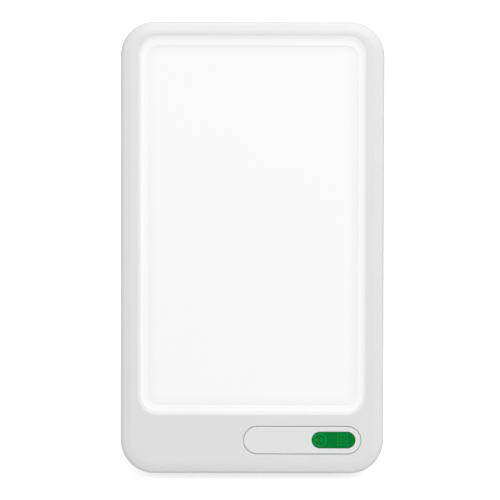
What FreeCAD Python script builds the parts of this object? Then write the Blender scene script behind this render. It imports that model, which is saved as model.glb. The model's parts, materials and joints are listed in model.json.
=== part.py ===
"""Light therapy lamp: a slim tablet-shaped light panel that leans back on a fold-out leg.

Lengths are in millimetres and angles in degrees. The pieces of the panel are drawn in the panel's
own frame: x to the right, y back from the front face, z up from the bottom edge. Their Placement
then leans them back over the desk. The leg is drawn about its hinge pin, hanging straight down.
"""
import FreeCAD, Part
import math
import os

import Sketcher
from FreeCAD import Placement, Rotation, Vector

# Every driving size: its name in the sheet, its value and what it measures.
SIZES = [
    ("lamp_width", 156, "panel, left to right"),
    ("lamp_height", 268, "panel, bottom edge to top edge"),
    ("lamp_depth", 22, "panel, front face to back face"),
    ("lean_angle", 20, "panel leans back from upright"),
    ("corner_radius", 20, "panel's four corners, seen from the front"),
    ("wall", 2.2, "rear cover and skirt of the bezel"),
    ("face_wall", 2.4, "front wall of the bezel"),
    ("bezel_depth", 10, "front face to the parting line"),
    ("crown_run", 5.6, "width of the sloping border of the front face"),
    ("crown_drop", 1, "how far that border falls back"),
    ("front_edge_radius", 3, "outer front edge"),
    ("back_edge_radius", 5.5, "outer back edge"),
    ("parting_bevel", 0.3, "chamfer on both shells at the parting line"),
    ("lap_wall", 1.2, "bezel skirt where the cover's tongue goes in"),
    ("lap_clearance", 0.1, "between skirt and tongue"),
    ("tongue_length", 2.5, "tongue of the rear cover"),
    ("tongue_end_gap", 0.2, "tongue's end to the bottom of its rebate"),
    ("side_border", 12.5, "light opening to the panel's sides"),
    ("top_border", 9.8, "light opening to the panel's top edge"),
    ("chin_height", 37.8, "light opening above the panel's bottom edge"),
    ("window_radius", 9.3, "light opening, corners"),
    ("lip_run", 2.6, "slope around the light opening, in the face"),
    ("lip_drop", 1.2, "slope around the light opening, in depth"),
    ("diffuser_lap", 1.5, "diffuser reaches behind the bezel"),
    ("diffuser_thickness", 3, "opal panel"),
    ("step_inset", 3.2, "light opening's edge to the diffuser's recess"),
    ("step_depth", 0.5, "recess in the front of the diffuser"),
    ("step_radius", 7, "recess in the front of the diffuser, corners"),
    ("rim_clearance", 0.2, "diffuser to its locating rim"),
    ("rim_thickness", 0.8, "locating rim inside the bezel"),
    ("rim_height", 2, "locating rim inside the bezel"),
    ("film_thickness", 0.4, "diffusion film"),
    ("film_inset", 0.3, "film's edge inside the diffuser's"),
    ("reflector_depth", 6.4, "light mixing depth of the reflector frame"),
    ("reflector_inset", 4.5, "how far its walls lean in over that depth"),
    ("reflector_wall", 1.4, "reflector frame"),
    ("reflector_margin", 0.5, "reflector's edge inside the diffuser's"),
    ("board_thickness", 1.6, "both circuit boards"),
    ("led_board_margin", 0.5, "LED board's edge beyond the reflector"),
    ("led_columns", 8, "LEDs across"),
    ("led_rows", 14, "LEDs up"),
    ("led_length", 3.5, "LED package"),
    ("led_width", 2.8, "LED package"),
    ("led_height", 0.7, "LED package"),
    ("plate_length", 69.4, "control plate"),
    ("plate_width", 16.1, "control plate"),
    ("plate_thickness", 1.4, "control plate"),
    ("plate_gap", 0.45, "control plate to the edge of its seat"),
    ("plate_bevel", 0.3, "control plate's front edge"),
    ("plate_margin", 13.5, "control plate's right-hand end to the panel's side"),
    ("plate_z", 20.05, "middle of the control plate above the bottom edge"),
    ("button_length", 25.1, "push-button"),
    ("button_width", 9, "push-button"),
    ("button_proud", 0.3, "push-button stands out of the plate"),
    ("button_gap", 0.3, "push-button to its opening"),
    ("button_edge", 0.5, "push-button's front edge, chamfered"),
    ("button_flange", 1.3, "flange reaches beyond the push-button's edge"),
    ("flange_thickness", 1, "push-button's flange"),
    ("flange_gap", 0.3, "flange to the wall in front of it"),
    ("button_travel", 1.5, "push-button's stroke"),
    ("plunger_diameter", 4, "switch plunger"),
    ("plunger_clearance", 0.1, "plunger to its bore"),
    ("plunger_overlap", 1.4, "plunger inside the switch when released"),
    ("switch_length", 12, "switch body"),
    ("switch_width", 10, "switch body"),
    ("switch_height", 3.4, "switch body"),
    ("switch_bevel", 0.5, "switch body's front edges"),
    ("driver_front", 9.4, "front of the driver board behind the face"),
    ("driver_end_gap", 3.5, "driver board's ends to the case posts"),
    ("driver_height", 26, "driver board"),
    ("driver_bottom", 6, "driver board above the bottom edge"),
    ("driver_corner", 2, "driver board's corners"),
    ("case_screw_inset", 10.7, "case screws from both edges of the panel"),
    ("case_boss_radius", 2.4, "bosses in the bezel"),
    ("case_post_radius", 3.8, "posts in the rear cover"),
    ("case_well_radius", 2.6, "screw wells in the back"),
    ("case_well_floor", 15, "seat of the screw heads behind the face"),
    ("case_screw_radius", 1.3, "case screws"),
    ("case_screw_length", 10, "case screws under the head"),
    ("case_head_radius", 2.3, "case screws"),
    ("case_head_height", 1.7, "case screws"),
    ("board_screw_radius", 1.1, "board screws"),
    ("board_screw_length", 3.4, "board screws below the board"),
    ("board_head_radius", 2, "board screws"),
    ("board_head_height", 1.2, "board screws"),
    ("board_post_radius", 2.8, "posts that carry the boards"),
    ("hole_clearance", 0.15, "screws in through holes"),
    ("pilot_clearance", 0.03, "screws in the posts that hold them"),
    ("pilot_end_gap", 0.3, "below the tip of a screw"),
    ("driver_seat_inset", 4, "posts and rib of the driver board inside its edges"),
    ("driver_rib_length", 50, "rib under the driver board"),
    ("led_rib_inset", 12.5, "ribs of the LED board inside its sides"),
    ("led_rib_end_gap", 9.2, "ribs of the LED board inside its ends"),
    ("led_rib_length", 40, "ribs under the LED board"),
    ("chip_length", 5, "driver chip"),
    ("chip_width", 4, "driver chip"),
    ("chip_height", 1.6, "driver chip"),
    ("chip_x", 10, "driver chip, right of centre"),
    ("chip_z", 16, "driver chip above the bottom edge"),
    ("inductor_size", 8, "power inductor, both ways"),
    ("inductor_height", 5, "power inductor"),
    ("inductor_corner", 1.3, "power inductor, corners"),
    ("inductor_inset", 10.5, "middle of the inductor from the board's right-hand end"),
    ("inductor_z", 18.5, "power inductor above the bottom edge"),
    ("capacitor_diameter", 6.3, "electrolytic capacitors"),
    ("capacitor_height", 7.5, "electrolytic capacitors"),
    ("capacitor_inset", 20.5, "middle of the capacitors from the board's right-hand end"),
    ("capacitor_z", 13, "lower capacitor above the bottom edge"),
    ("capacitor_gap", 2.7, "between the two capacitors"),
    ("connector_length", 8, "both wire connectors, across"),
    ("connector_height", 5, "both wire connectors, up"),
    ("connector_depth", 4.8, "both wire connectors, off the board"),
    ("connector_end_inset", 9, "middle of the connectors from the driver board's end"),
    ("connector_inset", 1.5, "connectors inside the edge of their board"),
    ("lead_diameter", 1.5, "leads to the LED board"),
    ("lead_gap", 1, "between the two leads"),
    ("inlet_inset", 14, "middle of the power inlet from the board's left-hand end"),
    ("inlet_z", 18, "power inlet above the bottom edge"),
    ("inlet_width", 11, "power inlet's body, both ways"),
    ("inlet_nose_diameter", 9.6, "power inlet's round nose"),
    ("inlet_nose_gap", 0.1, "nose to the hole in the cover, all round"),
    ("inlet_nose_inset", 0.2, "nose's end inside the back face"),
    ("inlet_bore_diameter", 6.2, "takes the plug's 5.5 sleeve"),
    ("inlet_bore_depth", 9.5, "takes the plug's 9.5 barrel"),
    ("inlet_pin_diameter", 2, "centre pin"),
    ("inlet_pin_inset", 0.8, "centre pin's tip inside the nose"),
    ("inlet_bevel", 0.5, "hole in the cover, outer edge"),
    ("vent_width", 2.4, "vent slots"),
    ("vent_gap", 4.6, "between the vent slots"),
    ("vent_count", 11, "vent slots"),
    ("vent_drop", 28, "vent slots' upper ends below the top edge"),
    ("vent_rise", 18.6, "vent slots' lower ends above the leg's recess"),
    ("recess_depth", 6, "leg's recess in the back"),
    ("recess_corner", 4, "lower corners of the leg"),
    ("recess_gap", 0.8, "leg to the sides of its recess"),
    ("scoop_radius", 9, "finger scoops beside the leg"),
    ("scoop_z", 75, "finger scoops above the bottom edge"),
    ("stand_angle", 30, "leg opens from the back until its heel stops it"),
    ("hinge_drop", 78, "hinge pin below the panel's top edge"),
    ("hinge_rise", 3.1, "hinge pin above the recess floor"),
    ("pin_diameter", 3, "hinge pin"),
    ("pin_seat", 3.8, "hinge pin in each side wall of the recess"),
    ("pin_clearance", 0.05, "leg's bore around the pin"),
    ("pin_fit", 0.01, "cover's bores around the pin"),
    ("pin_bevel", 0.3, "hinge pin's ends"),
    ("hinge_boss", 8, "bosses that hold the pin, up and down"),
    ("leg_margin", 47.5, "leg's sides inside the panel's, at the hinge"),
    ("leg_taper", 3.5, "leg narrows on each side, down to its foot"),
    ("leg_taper_start", 24, "hinge pin to the start of the taper"),
    ("leg_thickness", 5.4, "leg"),
    ("leg_skin", 2, "leg's outer skin behind its pockets"),
    ("heel_rise", 4.9, "leg's heel above the pin"),
    ("heel_round", 1.5, "leg's upper back edge"),
    ("heel_gap", 0.3, "heel to the recess floor when the leg is open"),
    ("top_gap", 0.5, "heel to the top of the recess"),
    ("leg_rib", 3.5, "ribs between the leg's pockets"),
    ("leg_rim", 5.2, "solid edge beside the pockets, at the foot"),
    ("pocket_start", 9.5, "hinge pin to the first pockets"),
    ("pocket_end", 26, "last pockets to the leg's foot"),
    ("pocket_columns", 3, "pockets across the leg"),
    ("pocket_rows", 6, "pockets along the leg"),
    ("leg_pad_thickness", 2, "rubber pad under the leg"),
    ("leg_pad_tongue", 1.6, "its tongue, both ways"),
    ("leg_pad_inset", 1, "pad's ends inside the leg's sides"),
    ("leg_pad_edge", 0.4, "pad's rounded edges"),
    ("fit_gap", 0.1, "rubber parts in their slots"),
    ("strip_inset", 30, "rubber foot strip's ends inside the panel's sides"),
    ("strip_width", 5, "rubber foot strip"),
    ("strip_radius", 2.3, "rubber foot strip's ends"),
    ("strip_sunk", 0.8, "strip inside the cover"),
    ("strip_proud", 1, "strip stands out of the cover"),
]

doc = FreeCAD.newDocument("light_therapy_lamp")
sheet = doc.addObject("Spreadsheet::Sheet", "Sizes")


class Size:
    """An expression of the sheet, with the number that it gives."""

    def __init__(self, text, number):
        self.text = text
        self.number = number

    def __add__(self, other):
        other = as_size(other)
        return Size(f"({self.text} + {other.text})", self.number + other.number)

    def __sub__(self, other):
        other = as_size(other)
        return Size(f"({self.text} - {other.text})", self.number - other.number)

    def __mul__(self, other):
        other = as_size(other)
        return Size(f"({self.text} * {other.text})", self.number * other.number)

    def __truediv__(self, other):
        other = as_size(other)
        return Size(f"({self.text} / {other.text})", self.number / other.number)

    def __neg__(self):
        return Size(f"(-{self.text})", -self.number)


def as_size(value):
    if isinstance(value, Size):
        return value
    return Size(str(value), value)


def sine(angle):
    return Size(f"sin({angle.text})", math.sin(math.radians(angle.number)))


def cosine(angle):
    return Size(f"cos({angle.text})", math.cos(math.radians(angle.number)))


class Sheet:
    """Gives each named size of the sheet as an attribute."""

    def __getattr__(self, name):
        return Size(f"Sizes.{name}", float(sheet.get(name)))


size = Sheet()


def fill_sheet():
    for row, (name, number, meaning) in enumerate(SIZES, start=1):
        sheet.set(f"A{row}", name)
        sheet.set(f"B{row}", str(number))
        sheet.set(f"C{row}", meaning)
        sheet.setAlias(f"B{row}", name)
    doc.recompute()


def bind(thing, name, value):
    thing.setExpression(name, as_size(value).text)


# ---------------------------------------------------------------- sketches

def new_body(label):
    body = doc.addObject("PartDesign::Body", label)
    body.Label = label
    body.AllowCompound = True
    return body


def origin_plane(body, role):
    for feature in body.Origin.OriginFeatures:
        if feature.Role == role:
            return feature


def sketch_on(body, name, role, offset):
    """A sketch on one of the body's origin planes, moved along that plane's normal."""
    sketch = body.newObject("Sketcher::SketchObject", name)
    sketch.AttachmentSupport = [(origin_plane(body, role), "")]
    sketch.MapMode = "FlatFace"
    bind(sketch, "AttachmentOffset.Base.z", offset)
    return sketch


def front_sketch(body, name, depth):
    """Seen from the front: x to the right, z up, at a depth behind the front face."""
    return sketch_on(body, name, "XZ_Plane", -as_size(depth))


def side_sketch(body, name, across=0):
    """Seen from the right: y and z, at a distance right of the middle."""
    return sketch_on(body, name, "YZ_Plane", across)


def top_sketch(body, name, height=0):
    """Seen from above: x and y, at a height above the bottom edge."""
    return sketch_on(body, name, "XY_Plane", height)


def fix(sketch, kind, *geometry_then_value):
    """Adds a constraint whose last argument is a Size that drives it."""
    *geometry, value = geometry_then_value
    value = as_size(value)
    index = sketch.addConstraint(Sketcher.Constraint(kind, *geometry, value.number))
    sketch.setExpression(f"Constraints[{index}]", value.text)


def fix_point(sketch, geometry, end, x, z):
    fix(sketch, "DistanceX", -1, 1, geometry, end, x)
    fix(sketch, "DistanceY", -1, 1, geometry, end, z)


def line(x1, z1, x2, z2):
    return Part.LineSegment(Vector(x1, z1, 0), Vector(x2, z2, 0))


def arc(x, z, radius, start, end):
    circle_of_arc = Part.Circle(Vector(x, z, 0), Vector(0, 0, 1), radius)
    return Part.ArcOfCircle(circle_of_arc, math.radians(start), math.radians(end))


def circle(sketch, x, z, radius):
    centre = Vector(as_size(x).number, as_size(z).number, 0)
    index = sketch.addGeometry(Part.Circle(centre, Vector(0, 0, 1), as_size(radius).number), False)
    fix_point(sketch, index, 3, x, z)
    fix(sketch, "Radius", index, radius)


def rectangle(sketch, x, z, width, height):
    """A sharp-cornered rectangle about its middle."""
    half_width = as_size(width) / 2
    half_height = as_size(height) / 2
    x = as_size(x)
    z = as_size(z)
    outline(sketch, [
        (x - half_width, z - half_height),
        (x + half_width, z - half_height),
        (x + half_width, z + half_height),
        (x - half_width, z + half_height),
    ])


def rounded_rectangle(sketch, x, z, width, height, radius):
    """Four sides and four tangent corner arcs about the middle."""
    x, z, width, height, radius = (as_size(v) for v in (x, z, width, height, radius))
    left = x - width / 2
    bottom = z - height / 2
    x1, z1, r = left.number, bottom.number, radius.number
    x2, z2 = x1 + width.number, z1 + height.number
    first = sketch.addGeometry([
        line(x1 + r, z1, x2 - r, z1),
        arc(x2 - r, z1 + r, r, 270, 360),
        line(x2, z1 + r, x2, z2 - r),
        arc(x2 - r, z2 - r, r, 0, 90),
        line(x2 - r, z2, x1 + r, z2),
        arc(x1 + r, z2 - r, r, 90, 180),
        line(x1, z2 - r, x1, z1 + r),
        arc(x1 + r, z1 + r, r, 180, 270),
    ], False)[0]
    for step in range(8):
        following = first + (step + 1) % 8
        sketch.addConstraint(Sketcher.Constraint("Tangent", first + step, 2, following, 1))
    for step in (0, 4):
        sketch.addConstraint(Sketcher.Constraint("Horizontal", first + step))
    for step in (2, 6):
        sketch.addConstraint(Sketcher.Constraint("Vertical", first + step))
    for step in (3, 5, 7):
        sketch.addConstraint(Sketcher.Constraint("Equal", first + 1, first + step))
    fix(sketch, "Radius", first + 1, radius)
    fix(sketch, "DistanceX", -1, 1, first + 6, 1, left)
    fix(sketch, "DistanceX", -1, 1, first + 2, 1, left + width)
    fix(sketch, "DistanceY", -1, 1, first, 1, bottom)
    fix(sketch, "DistanceY", -1, 1, first + 4, 1, bottom + height)


def stadium(sketch, x, z, length, width):
    """Two straight sides and two half-round ends about the middle."""
    x, z, length, width = (as_size(v) for v in (x, z, length, width))
    reach = (length - width) / 2
    x1 = (x - reach).number
    x2 = (x + reach).number
    r = width.number / 2
    first = sketch.addGeometry([
        line(x1, z.number - r, x2, z.number - r),
        arc(x2, z.number, r, -90, 90),
        line(x2, z.number + r, x1, z.number + r),
        arc(x1, z.number, r, 90, 270),
    ], False)[0]
    for step in range(4):
        following = first + (step + 1) % 4
        sketch.addConstraint(Sketcher.Constraint("Tangent", first + step, 2, following, 1))
    sketch.addConstraint(Sketcher.Constraint("Horizontal", first))
    fix(sketch, "Radius", first + 1, width / 2)
    fix_point(sketch, first + 1, 3, x + reach, z)
    fix(sketch, "DistanceX", -1, 1, first + 3, 3, x - reach)


def outline(sketch, points):
    """A closed polygon with every corner driven by the sheet."""
    points = [(as_size(x), as_size(z)) for x, z in points]
    count = len(points)
    lines = []
    for step in range(count):
        here = points[step]
        there = points[(step + 1) % count]
        lines.append(line(here[0].number, here[1].number, there[0].number, there[1].number))
    first = sketch.addGeometry(lines, False)[0]
    for step in range(count):
        following = first + (step + 1) % count
        sketch.addConstraint(Sketcher.Constraint("Coincident", first + step, 2, following, 1))
    for step, (x, z) in enumerate(points):
        fix_point(sketch, first + step, 1, x, z)


# ---------------------------------------------------------------- features

def extrude(kind, body, sketch, name, length, reverse=False, both_ways=False):
    feature = body.newObject(f"PartDesign::{kind}", name)
    feature.Profile = sketch
    bind(feature, "Length", length)
    feature.Reversed = reverse
    if both_ways:
        feature.SideType = "Symmetric"
    sketch.Visibility = False
    return feature


def grow_back(body, sketch, name, length):
    """A pad from a front sketch towards the back."""
    return extrude("Pad", body, sketch, name, length, reverse=True)


def grow_forward(body, sketch, name, length):
    """A pad from a front sketch towards the front face."""
    return extrude("Pad", body, sketch, name, length)


def cut(kind_of_cut, body, sketch, name, length, **how):
    """A pocket that must take something away."""
    doc.recompute()
    before = body.Tip.Shape.Volume
    feature = extrude(kind_of_cut, body, sketch, name, length, **how)
    doc.recompute()
    if not feature.Shape.Volume < before:
        raise RuntimeError(f"{body.Label}: {name} cuts nothing")
    return feature


def cut_back(body, sketch, name, length):
    """A pocket from a front sketch towards the back."""
    return cut("Pocket", body, sketch, name, length)


def cut_forward(body, sketch, name, length):
    """A pocket from a front sketch towards the front face."""
    return cut("Pocket", body, sketch, name, length, reverse=True)


def cut_across(body, sketch, name, length):
    """A pocket from a side sketch, to both sides alike."""
    return cut("Pocket", body, sketch, name, length, both_ways=True)


def edges_where(feature, test):
    """Names of the feature's edges whose bounding box passes the test."""
    doc.recompute()
    names = []
    for number, edge in enumerate(feature.Shape.Edges, start=1):
        if test(edge.BoundBox):
            names.append(f"Edge{number}")
    if not names:
        raise RuntimeError(f"{feature.Label}: no such edge")
    return names


def fillet(body, feature, name, radius, test):
    rounded = body.newObject("PartDesign::Fillet", name)
    rounded.Base = (feature, edges_where(feature, test))
    bind(rounded, "Radius", radius)
    return rounded


def bevel(body, feature, name, width, test):
    chamfer = body.newObject("PartDesign::Chamfer", name)
    chamfer.Base = (feature, edges_where(feature, test))
    bind(chamfer, "Size", width)
    return chamfer


def slope(body, feature, name, depth, run, test, flip=False):
    """A chamfer with its own depth along y and run in the front face."""
    chamfer = body.newObject("PartDesign::Chamfer", name)
    chamfer.Base = (feature, edges_where(feature, test))
    chamfer.ChamferType = "Two distances"
    bind(chamfer, "Size", depth)
    bind(chamfer, "Size2", run)
    chamfer.FlipDirection = flip
    return chamfer


def repeat(body, feature, sketch, axis, name, pitch, count):
    """Copies of a feature along an axis of its sketch."""
    pattern = body.newObject("PartDesign::LinearPattern", name)
    pattern.Originals = [feature]
    pattern.Direction = (sketch, [axis])
    pattern.Mode = "Spacing"
    bind(pattern, "Offset", pitch)
    bind(pattern, "Occurrences", count)
    body.Tip = pattern
    return pattern


NEAR = 0.01


def at_depth(depth):
    """Edges that lie flat at one depth behind the front face."""
    y = as_size(depth).number

    def test(box):
        return abs(box.YMin - y) < NEAR and abs(box.YMax - y) < NEAR
    return test


def within(test, half_width, low, high):
    """Narrows a test to edges inside a frame about the middle."""
    limit = as_size(half_width).number + NEAR
    bottom = as_size(low).number - NEAR
    top = as_size(high).number + NEAR

    def narrower(box):
        inside = box.XMin > -limit and box.XMax < limit and box.ZMin > bottom and box.ZMax < top
        return inside and test(box)
    return narrower


# ---------------------------------------------------------------- shared places

fill_sheet()

# Depths behind the front face.
cover_inside = size.lamp_depth - size.wall
diffuser_back = size.face_wall + size.diffuser_thickness
film_back = diffuser_back + size.film_thickness
led_board_front = film_back + size.reflector_depth
led_board_back = led_board_front + size.board_thickness
driver_back = size.driver_front + size.board_thickness
recess_floor = size.lamp_depth - size.recess_depth
recess_inside = recess_floor - size.wall
inlet_end = size.lamp_depth - size.inlet_nose_inset
inlet_shoulder = cover_inside - size.inlet_nose_gap

# The light opening lies inside its borders.
window_width = size.lamp_width - size.side_border * 2
window_height = size.lamp_height - size.top_border - size.chin_height
window_centre = size.chin_height + window_height / 2

# The diffuser and what lies behind it, each a little smaller than the last.
diffuser_width = window_width + size.diffuser_lap * 2
diffuser_height = window_height + size.diffuser_lap * 2
diffuser_radius = size.window_radius + size.diffuser_lap
reflector_width = diffuser_width - size.reflector_margin * 2
reflector_height = diffuser_height - size.reflector_margin * 2
reflector_radius = diffuser_radius - size.reflector_margin
led_board_width = reflector_width - (size.reflector_inset - size.led_board_margin) * 2
led_board_height = reflector_height - (size.reflector_inset - size.led_board_margin) * 2
led_board_radius = reflector_radius - size.reflector_inset + size.led_board_margin
led_board_bottom = window_centre - led_board_height / 2

# The LEDs share the space between the reflector's walls at the board.
lit_width = reflector_width - (size.reflector_wall + size.reflector_inset) * 2
lit_height = reflector_height - (size.reflector_wall + size.reflector_inset) * 2
led_step_x = lit_width / size.led_columns
led_step_z = lit_height / size.led_rows

# The driver board fills the chin between the case posts, and its parts keep to its ends.
driver_end = (size.lamp_width / 2 - size.case_screw_inset - size.case_post_radius
              - size.driver_end_gap)
driver_z = size.driver_bottom + size.driver_height / 2
driver_top = size.driver_bottom + size.driver_height
inlet_x = size.inlet_inset - driver_end
inductor_x = driver_end - size.inductor_inset
capacitor_x = driver_end - size.capacitor_inset
connector_x = driver_end - size.connector_end_inset

# The push-button shares the right-hand round end of the control plate.
plate_x = size.lamp_width / 2 - size.plate_margin - size.plate_length / 2
button_x = plate_x + (size.plate_length - size.plate_width - size.button_length
                      + size.button_width) / 2
button_hole_length = size.button_length + size.button_gap * 2
button_hole_width = size.button_width + size.button_gap * 2
flange_front = size.face_wall + size.flange_gap
flange_back = flange_front + size.flange_thickness
switch_front = size.driver_front - size.switch_height

# Middle of the foot strip's contact face, in the panel's frame: it lies below the round back edge.
sine_of_lean = sine(size.lean_angle)
cosine_of_lean = cosine(size.lean_angle)
contact_radius = size.back_edge_radius + size.strip_proud
contact_y = size.lamp_depth - size.back_edge_radius + contact_radius * sine_of_lean
contact_z = size.back_edge_radius - contact_radius * cosine_of_lean

# The hinge pin, seen from the contact face, and the leg that reaches from it to the desk.
hinge_y = recess_floor + size.hinge_rise
hinge_height = size.lamp_height - size.hinge_drop
hinge_desk_y = (hinge_y - contact_y) * cosine_of_lean + (hinge_height - contact_z) * sine_of_lean
hinge_desk_z = (hinge_height - contact_z) * cosine_of_lean - (hinge_y - contact_y) * sine_of_lean
leg_tilt = size.stand_angle - size.lean_angle
leg_width = size.lamp_width - size.leg_margin * 2
leg_foot_width = leg_width - size.leg_taper * 2
half_leg = size.leg_thickness / 2


def leg_end(y, height):
    """The leg's own z where it meets a level plane, at its own y."""
    return -(hinge_desk_z - height + as_size(y) * sine(leg_tilt)) / cosine(leg_tilt)


pad_low = leg_end(half_leg, 0)
heel_y = (size.heel_rise * sine(size.stand_angle) - size.hinge_rise + size.heel_gap) / cosine(
    size.stand_angle)
heel_kink = (size.hinge_rise - size.heel_gap - half_leg * cosine(size.stand_angle)) / sine(
    size.stand_angle)

# The leg's pockets share its length and its width at the foot.
pocket_across = (leg_foot_width - size.leg_rim * 2 + size.leg_rib) / size.pocket_columns
pocket_down = (size.leg_rib - pad_low - size.pocket_start - size.pocket_end) / size.pocket_rows
recess_top = hinge_height + size.heel_rise + size.top_gap
recess_bottom = hinge_height + pad_low - size.top_gap
strip_length = size.lamp_width - size.strip_inset * 2

# How far a through cut goes past the far face.
PAST = 1


def both_sides(x):
    return [-x, x]


def case_screw_places():
    low = size.case_screw_inset
    high = size.lamp_height - size.case_screw_inset
    corner_x = size.lamp_width / 2 - size.case_screw_inset
    return [(x, z) for x in both_sides(corner_x) for z in (low, high)]


def driver_screw_places():
    low = size.driver_bottom + size.driver_seat_inset
    return [(x, low) for x in both_sides(driver_end - size.driver_seat_inset)]


def circles(sketch, places, radius):
    for x, z in places:
        circle(sketch, x, z, radius)


def panel_outline(sketch, inset, corner):
    """The panel's outline, moved in by an inset."""
    rounded_rectangle(sketch, 0, size.lamp_height / 2, size.lamp_width - as_size(inset) * 2,
                      size.lamp_height - as_size(inset) * 2, corner)


def leg_outline(sketch, hinge, top, bottom, gap):
    """The leg's tapering outline seen from the front, grown by a gap at its sides."""
    gap = as_size(gap)
    taper_top = as_size(hinge) - size.leg_taper_start
    wide = leg_width / 2 + gap
    narrow = leg_foot_width / 2 + gap
    outline(sketch, [
        (-narrow, bottom), (narrow, bottom), (wide, taper_top),
        (wide, top), (-wide, top), (-wide, taper_top),
    ])


# ---------------------------------------------------------------- shells

def front_bezel():
    body = new_body("front_bezel")
    sketch = front_sketch(body, "bezel_outline", 0)
    panel_outline(sketch, 0, size.corner_radius)
    block = grow_back(body, sketch, "bezel_block", size.bezel_depth)

    border = slope(body, block, "crown", size.crown_drop, size.crown_run, at_depth(0))
    fillet(body, border, "front_edge", size.front_edge_radius, at_depth(size.crown_drop))

    sketch = front_sketch(body, "inside_outline", size.bezel_depth)
    panel_outline(sketch, size.wall, size.corner_radius - size.wall)
    cut_forward(body, sketch, "inside", size.bezel_depth - size.face_wall)

    sketch = front_sketch(body, "lap_outline", size.bezel_depth)
    panel_outline(sketch, size.lap_wall, size.corner_radius - size.lap_wall)
    cut_forward(body, sketch, "lap", size.tongue_length + size.tongue_end_gap)

    sketch = front_sketch(body, "rim_outline", size.face_wall)
    rim_inner = size.rim_clearance
    rim_outer = size.rim_clearance + size.rim_thickness
    for grow in (rim_inner, rim_outer):
        rounded_rectangle(sketch, 0, window_centre, diffuser_width + grow * 2,
                          diffuser_height + grow * 2, diffuser_radius + grow)
    grow_back(body, sketch, "locating_rim", size.rim_height)

    sketch = front_sketch(body, "boss_outline", size.face_wall)
    circles(sketch, case_screw_places(), size.case_boss_radius)
    grow_back(body, sketch, "screw_bosses", size.bezel_depth - size.face_wall)
    sketch = front_sketch(body, "pilot_outline", size.bezel_depth)
    circles(sketch, case_screw_places(), size.case_screw_radius + size.pilot_clearance)
    screw_tip = size.case_well_floor - size.case_screw_length
    cut_forward(body, sketch, "pilot_holes", size.bezel_depth - screw_tip + size.pilot_end_gap)

    sketch = front_sketch(body, "window_outline", 0)
    rounded_rectangle(sketch, 0, window_centre, window_width, window_height, size.window_radius)
    window = cut_back(body, sketch, "window", size.face_wall + PAST)
    window_frame = (window_width / 2, size.chin_height, size.chin_height + window_height)
    slope(body, window, "window_lip", size.lip_drop, size.lip_run,
          within(at_depth(0), *window_frame), flip=True)

    sketch = front_sketch(body, "plate_seat_outline", 0)
    stadium(sketch, plate_x, size.plate_z, size.plate_length + size.plate_gap * 2,
            size.plate_width + size.plate_gap * 2)
    cut_back(body, sketch, "plate_seat", size.plate_thickness)
    sketch = front_sketch(body, "button_hole_outline", 0)
    stadium(sketch, button_x, size.plate_z, button_hole_length, button_hole_width)
    hole = cut_back(body, sketch, "button_hole", size.face_wall + PAST)
    bevel(body, hole, "parting_bevel", size.parting_bevel, outer_edge(size.bezel_depth))
    return body


def outer_edge(depth):
    """Edges of the panel's own outline at one depth."""
    flat = at_depth(depth)
    half = size.lamp_width.number / 2 - size.corner_radius.number
    low = size.corner_radius.number
    high = size.lamp_height.number - size.corner_radius.number
    reach = size.corner_radius.number - size.lap_wall.number / 2

    def test(box):
        past_side = max(abs(box.XMin), abs(box.XMax)) > half + reach
        past_end = box.ZMin < low - reach or box.ZMax > high + reach
        return flat(box) and (past_side or past_end)
    return test


def rear_cover():
    body = new_body("rear_cover")
    sketch = front_sketch(body, "cover_outline", size.bezel_depth)
    panel_outline(sketch, 0, size.corner_radius)
    block = grow_back(body, sketch, "cover_block", size.lamp_depth - size.bezel_depth)
    fillet(body, block, "back_edge", size.back_edge_radius, at_depth(size.lamp_depth))

    sketch = front_sketch(body, "inside_outline", size.bezel_depth)
    panel_outline(sketch, size.wall, size.corner_radius - size.wall)
    inside = cut_back(body, sketch, "inside", cover_inside - size.bezel_depth)
    bevel(body, inside, "inside_edge", size.back_edge_radius - size.wall, at_depth(cover_inside))

    sketch = front_sketch(body, "tongue_outline", size.bezel_depth)
    tongue_outer = size.lap_wall + size.lap_clearance
    panel_outline(sketch, tongue_outer, size.corner_radius - tongue_outer)
    panel_outline(sketch, size.wall, size.corner_radius - size.wall)
    grow_forward(body, sketch, "tongue", size.tongue_length)

    leg_recess(body)
    hinge_seats(body)
    cover_posts(body)
    board_ribs(body)

    sketch = front_sketch(body, "inlet_hole_outline", size.lamp_depth)
    circle(sketch, inlet_x, size.inlet_z, size.inlet_nose_diameter / 2 + size.inlet_nose_gap)
    hole = cut_forward(body, sketch, "inlet_hole", size.wall + PAST)
    edge = size.inlet_nose_diameter / 2 + size.inlet_nose_gap

    def hole_edge(box):
        across = abs((box.XMin + box.XMax) / 2 - inlet_x.number) < NEAR
        return across and abs(box.XLength / 2 - edge.number) < NEAR and box.YMin > (
            size.lamp_depth.number - NEAR)
    bevel(body, hole, "inlet_bevel", size.inlet_bevel, hole_edge)

    vents(body)
    sketch = strip_sketch(body, "strip_groove_outline", size.fit_gap)
    groove = cut("Pocket", body, sketch, "strip_groove", size.strip_proud + size.strip_sunk,
                 reverse=True)
    bevel(body, groove, "parting_bevel", size.parting_bevel, outer_edge(size.bezel_depth))
    return body


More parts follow.
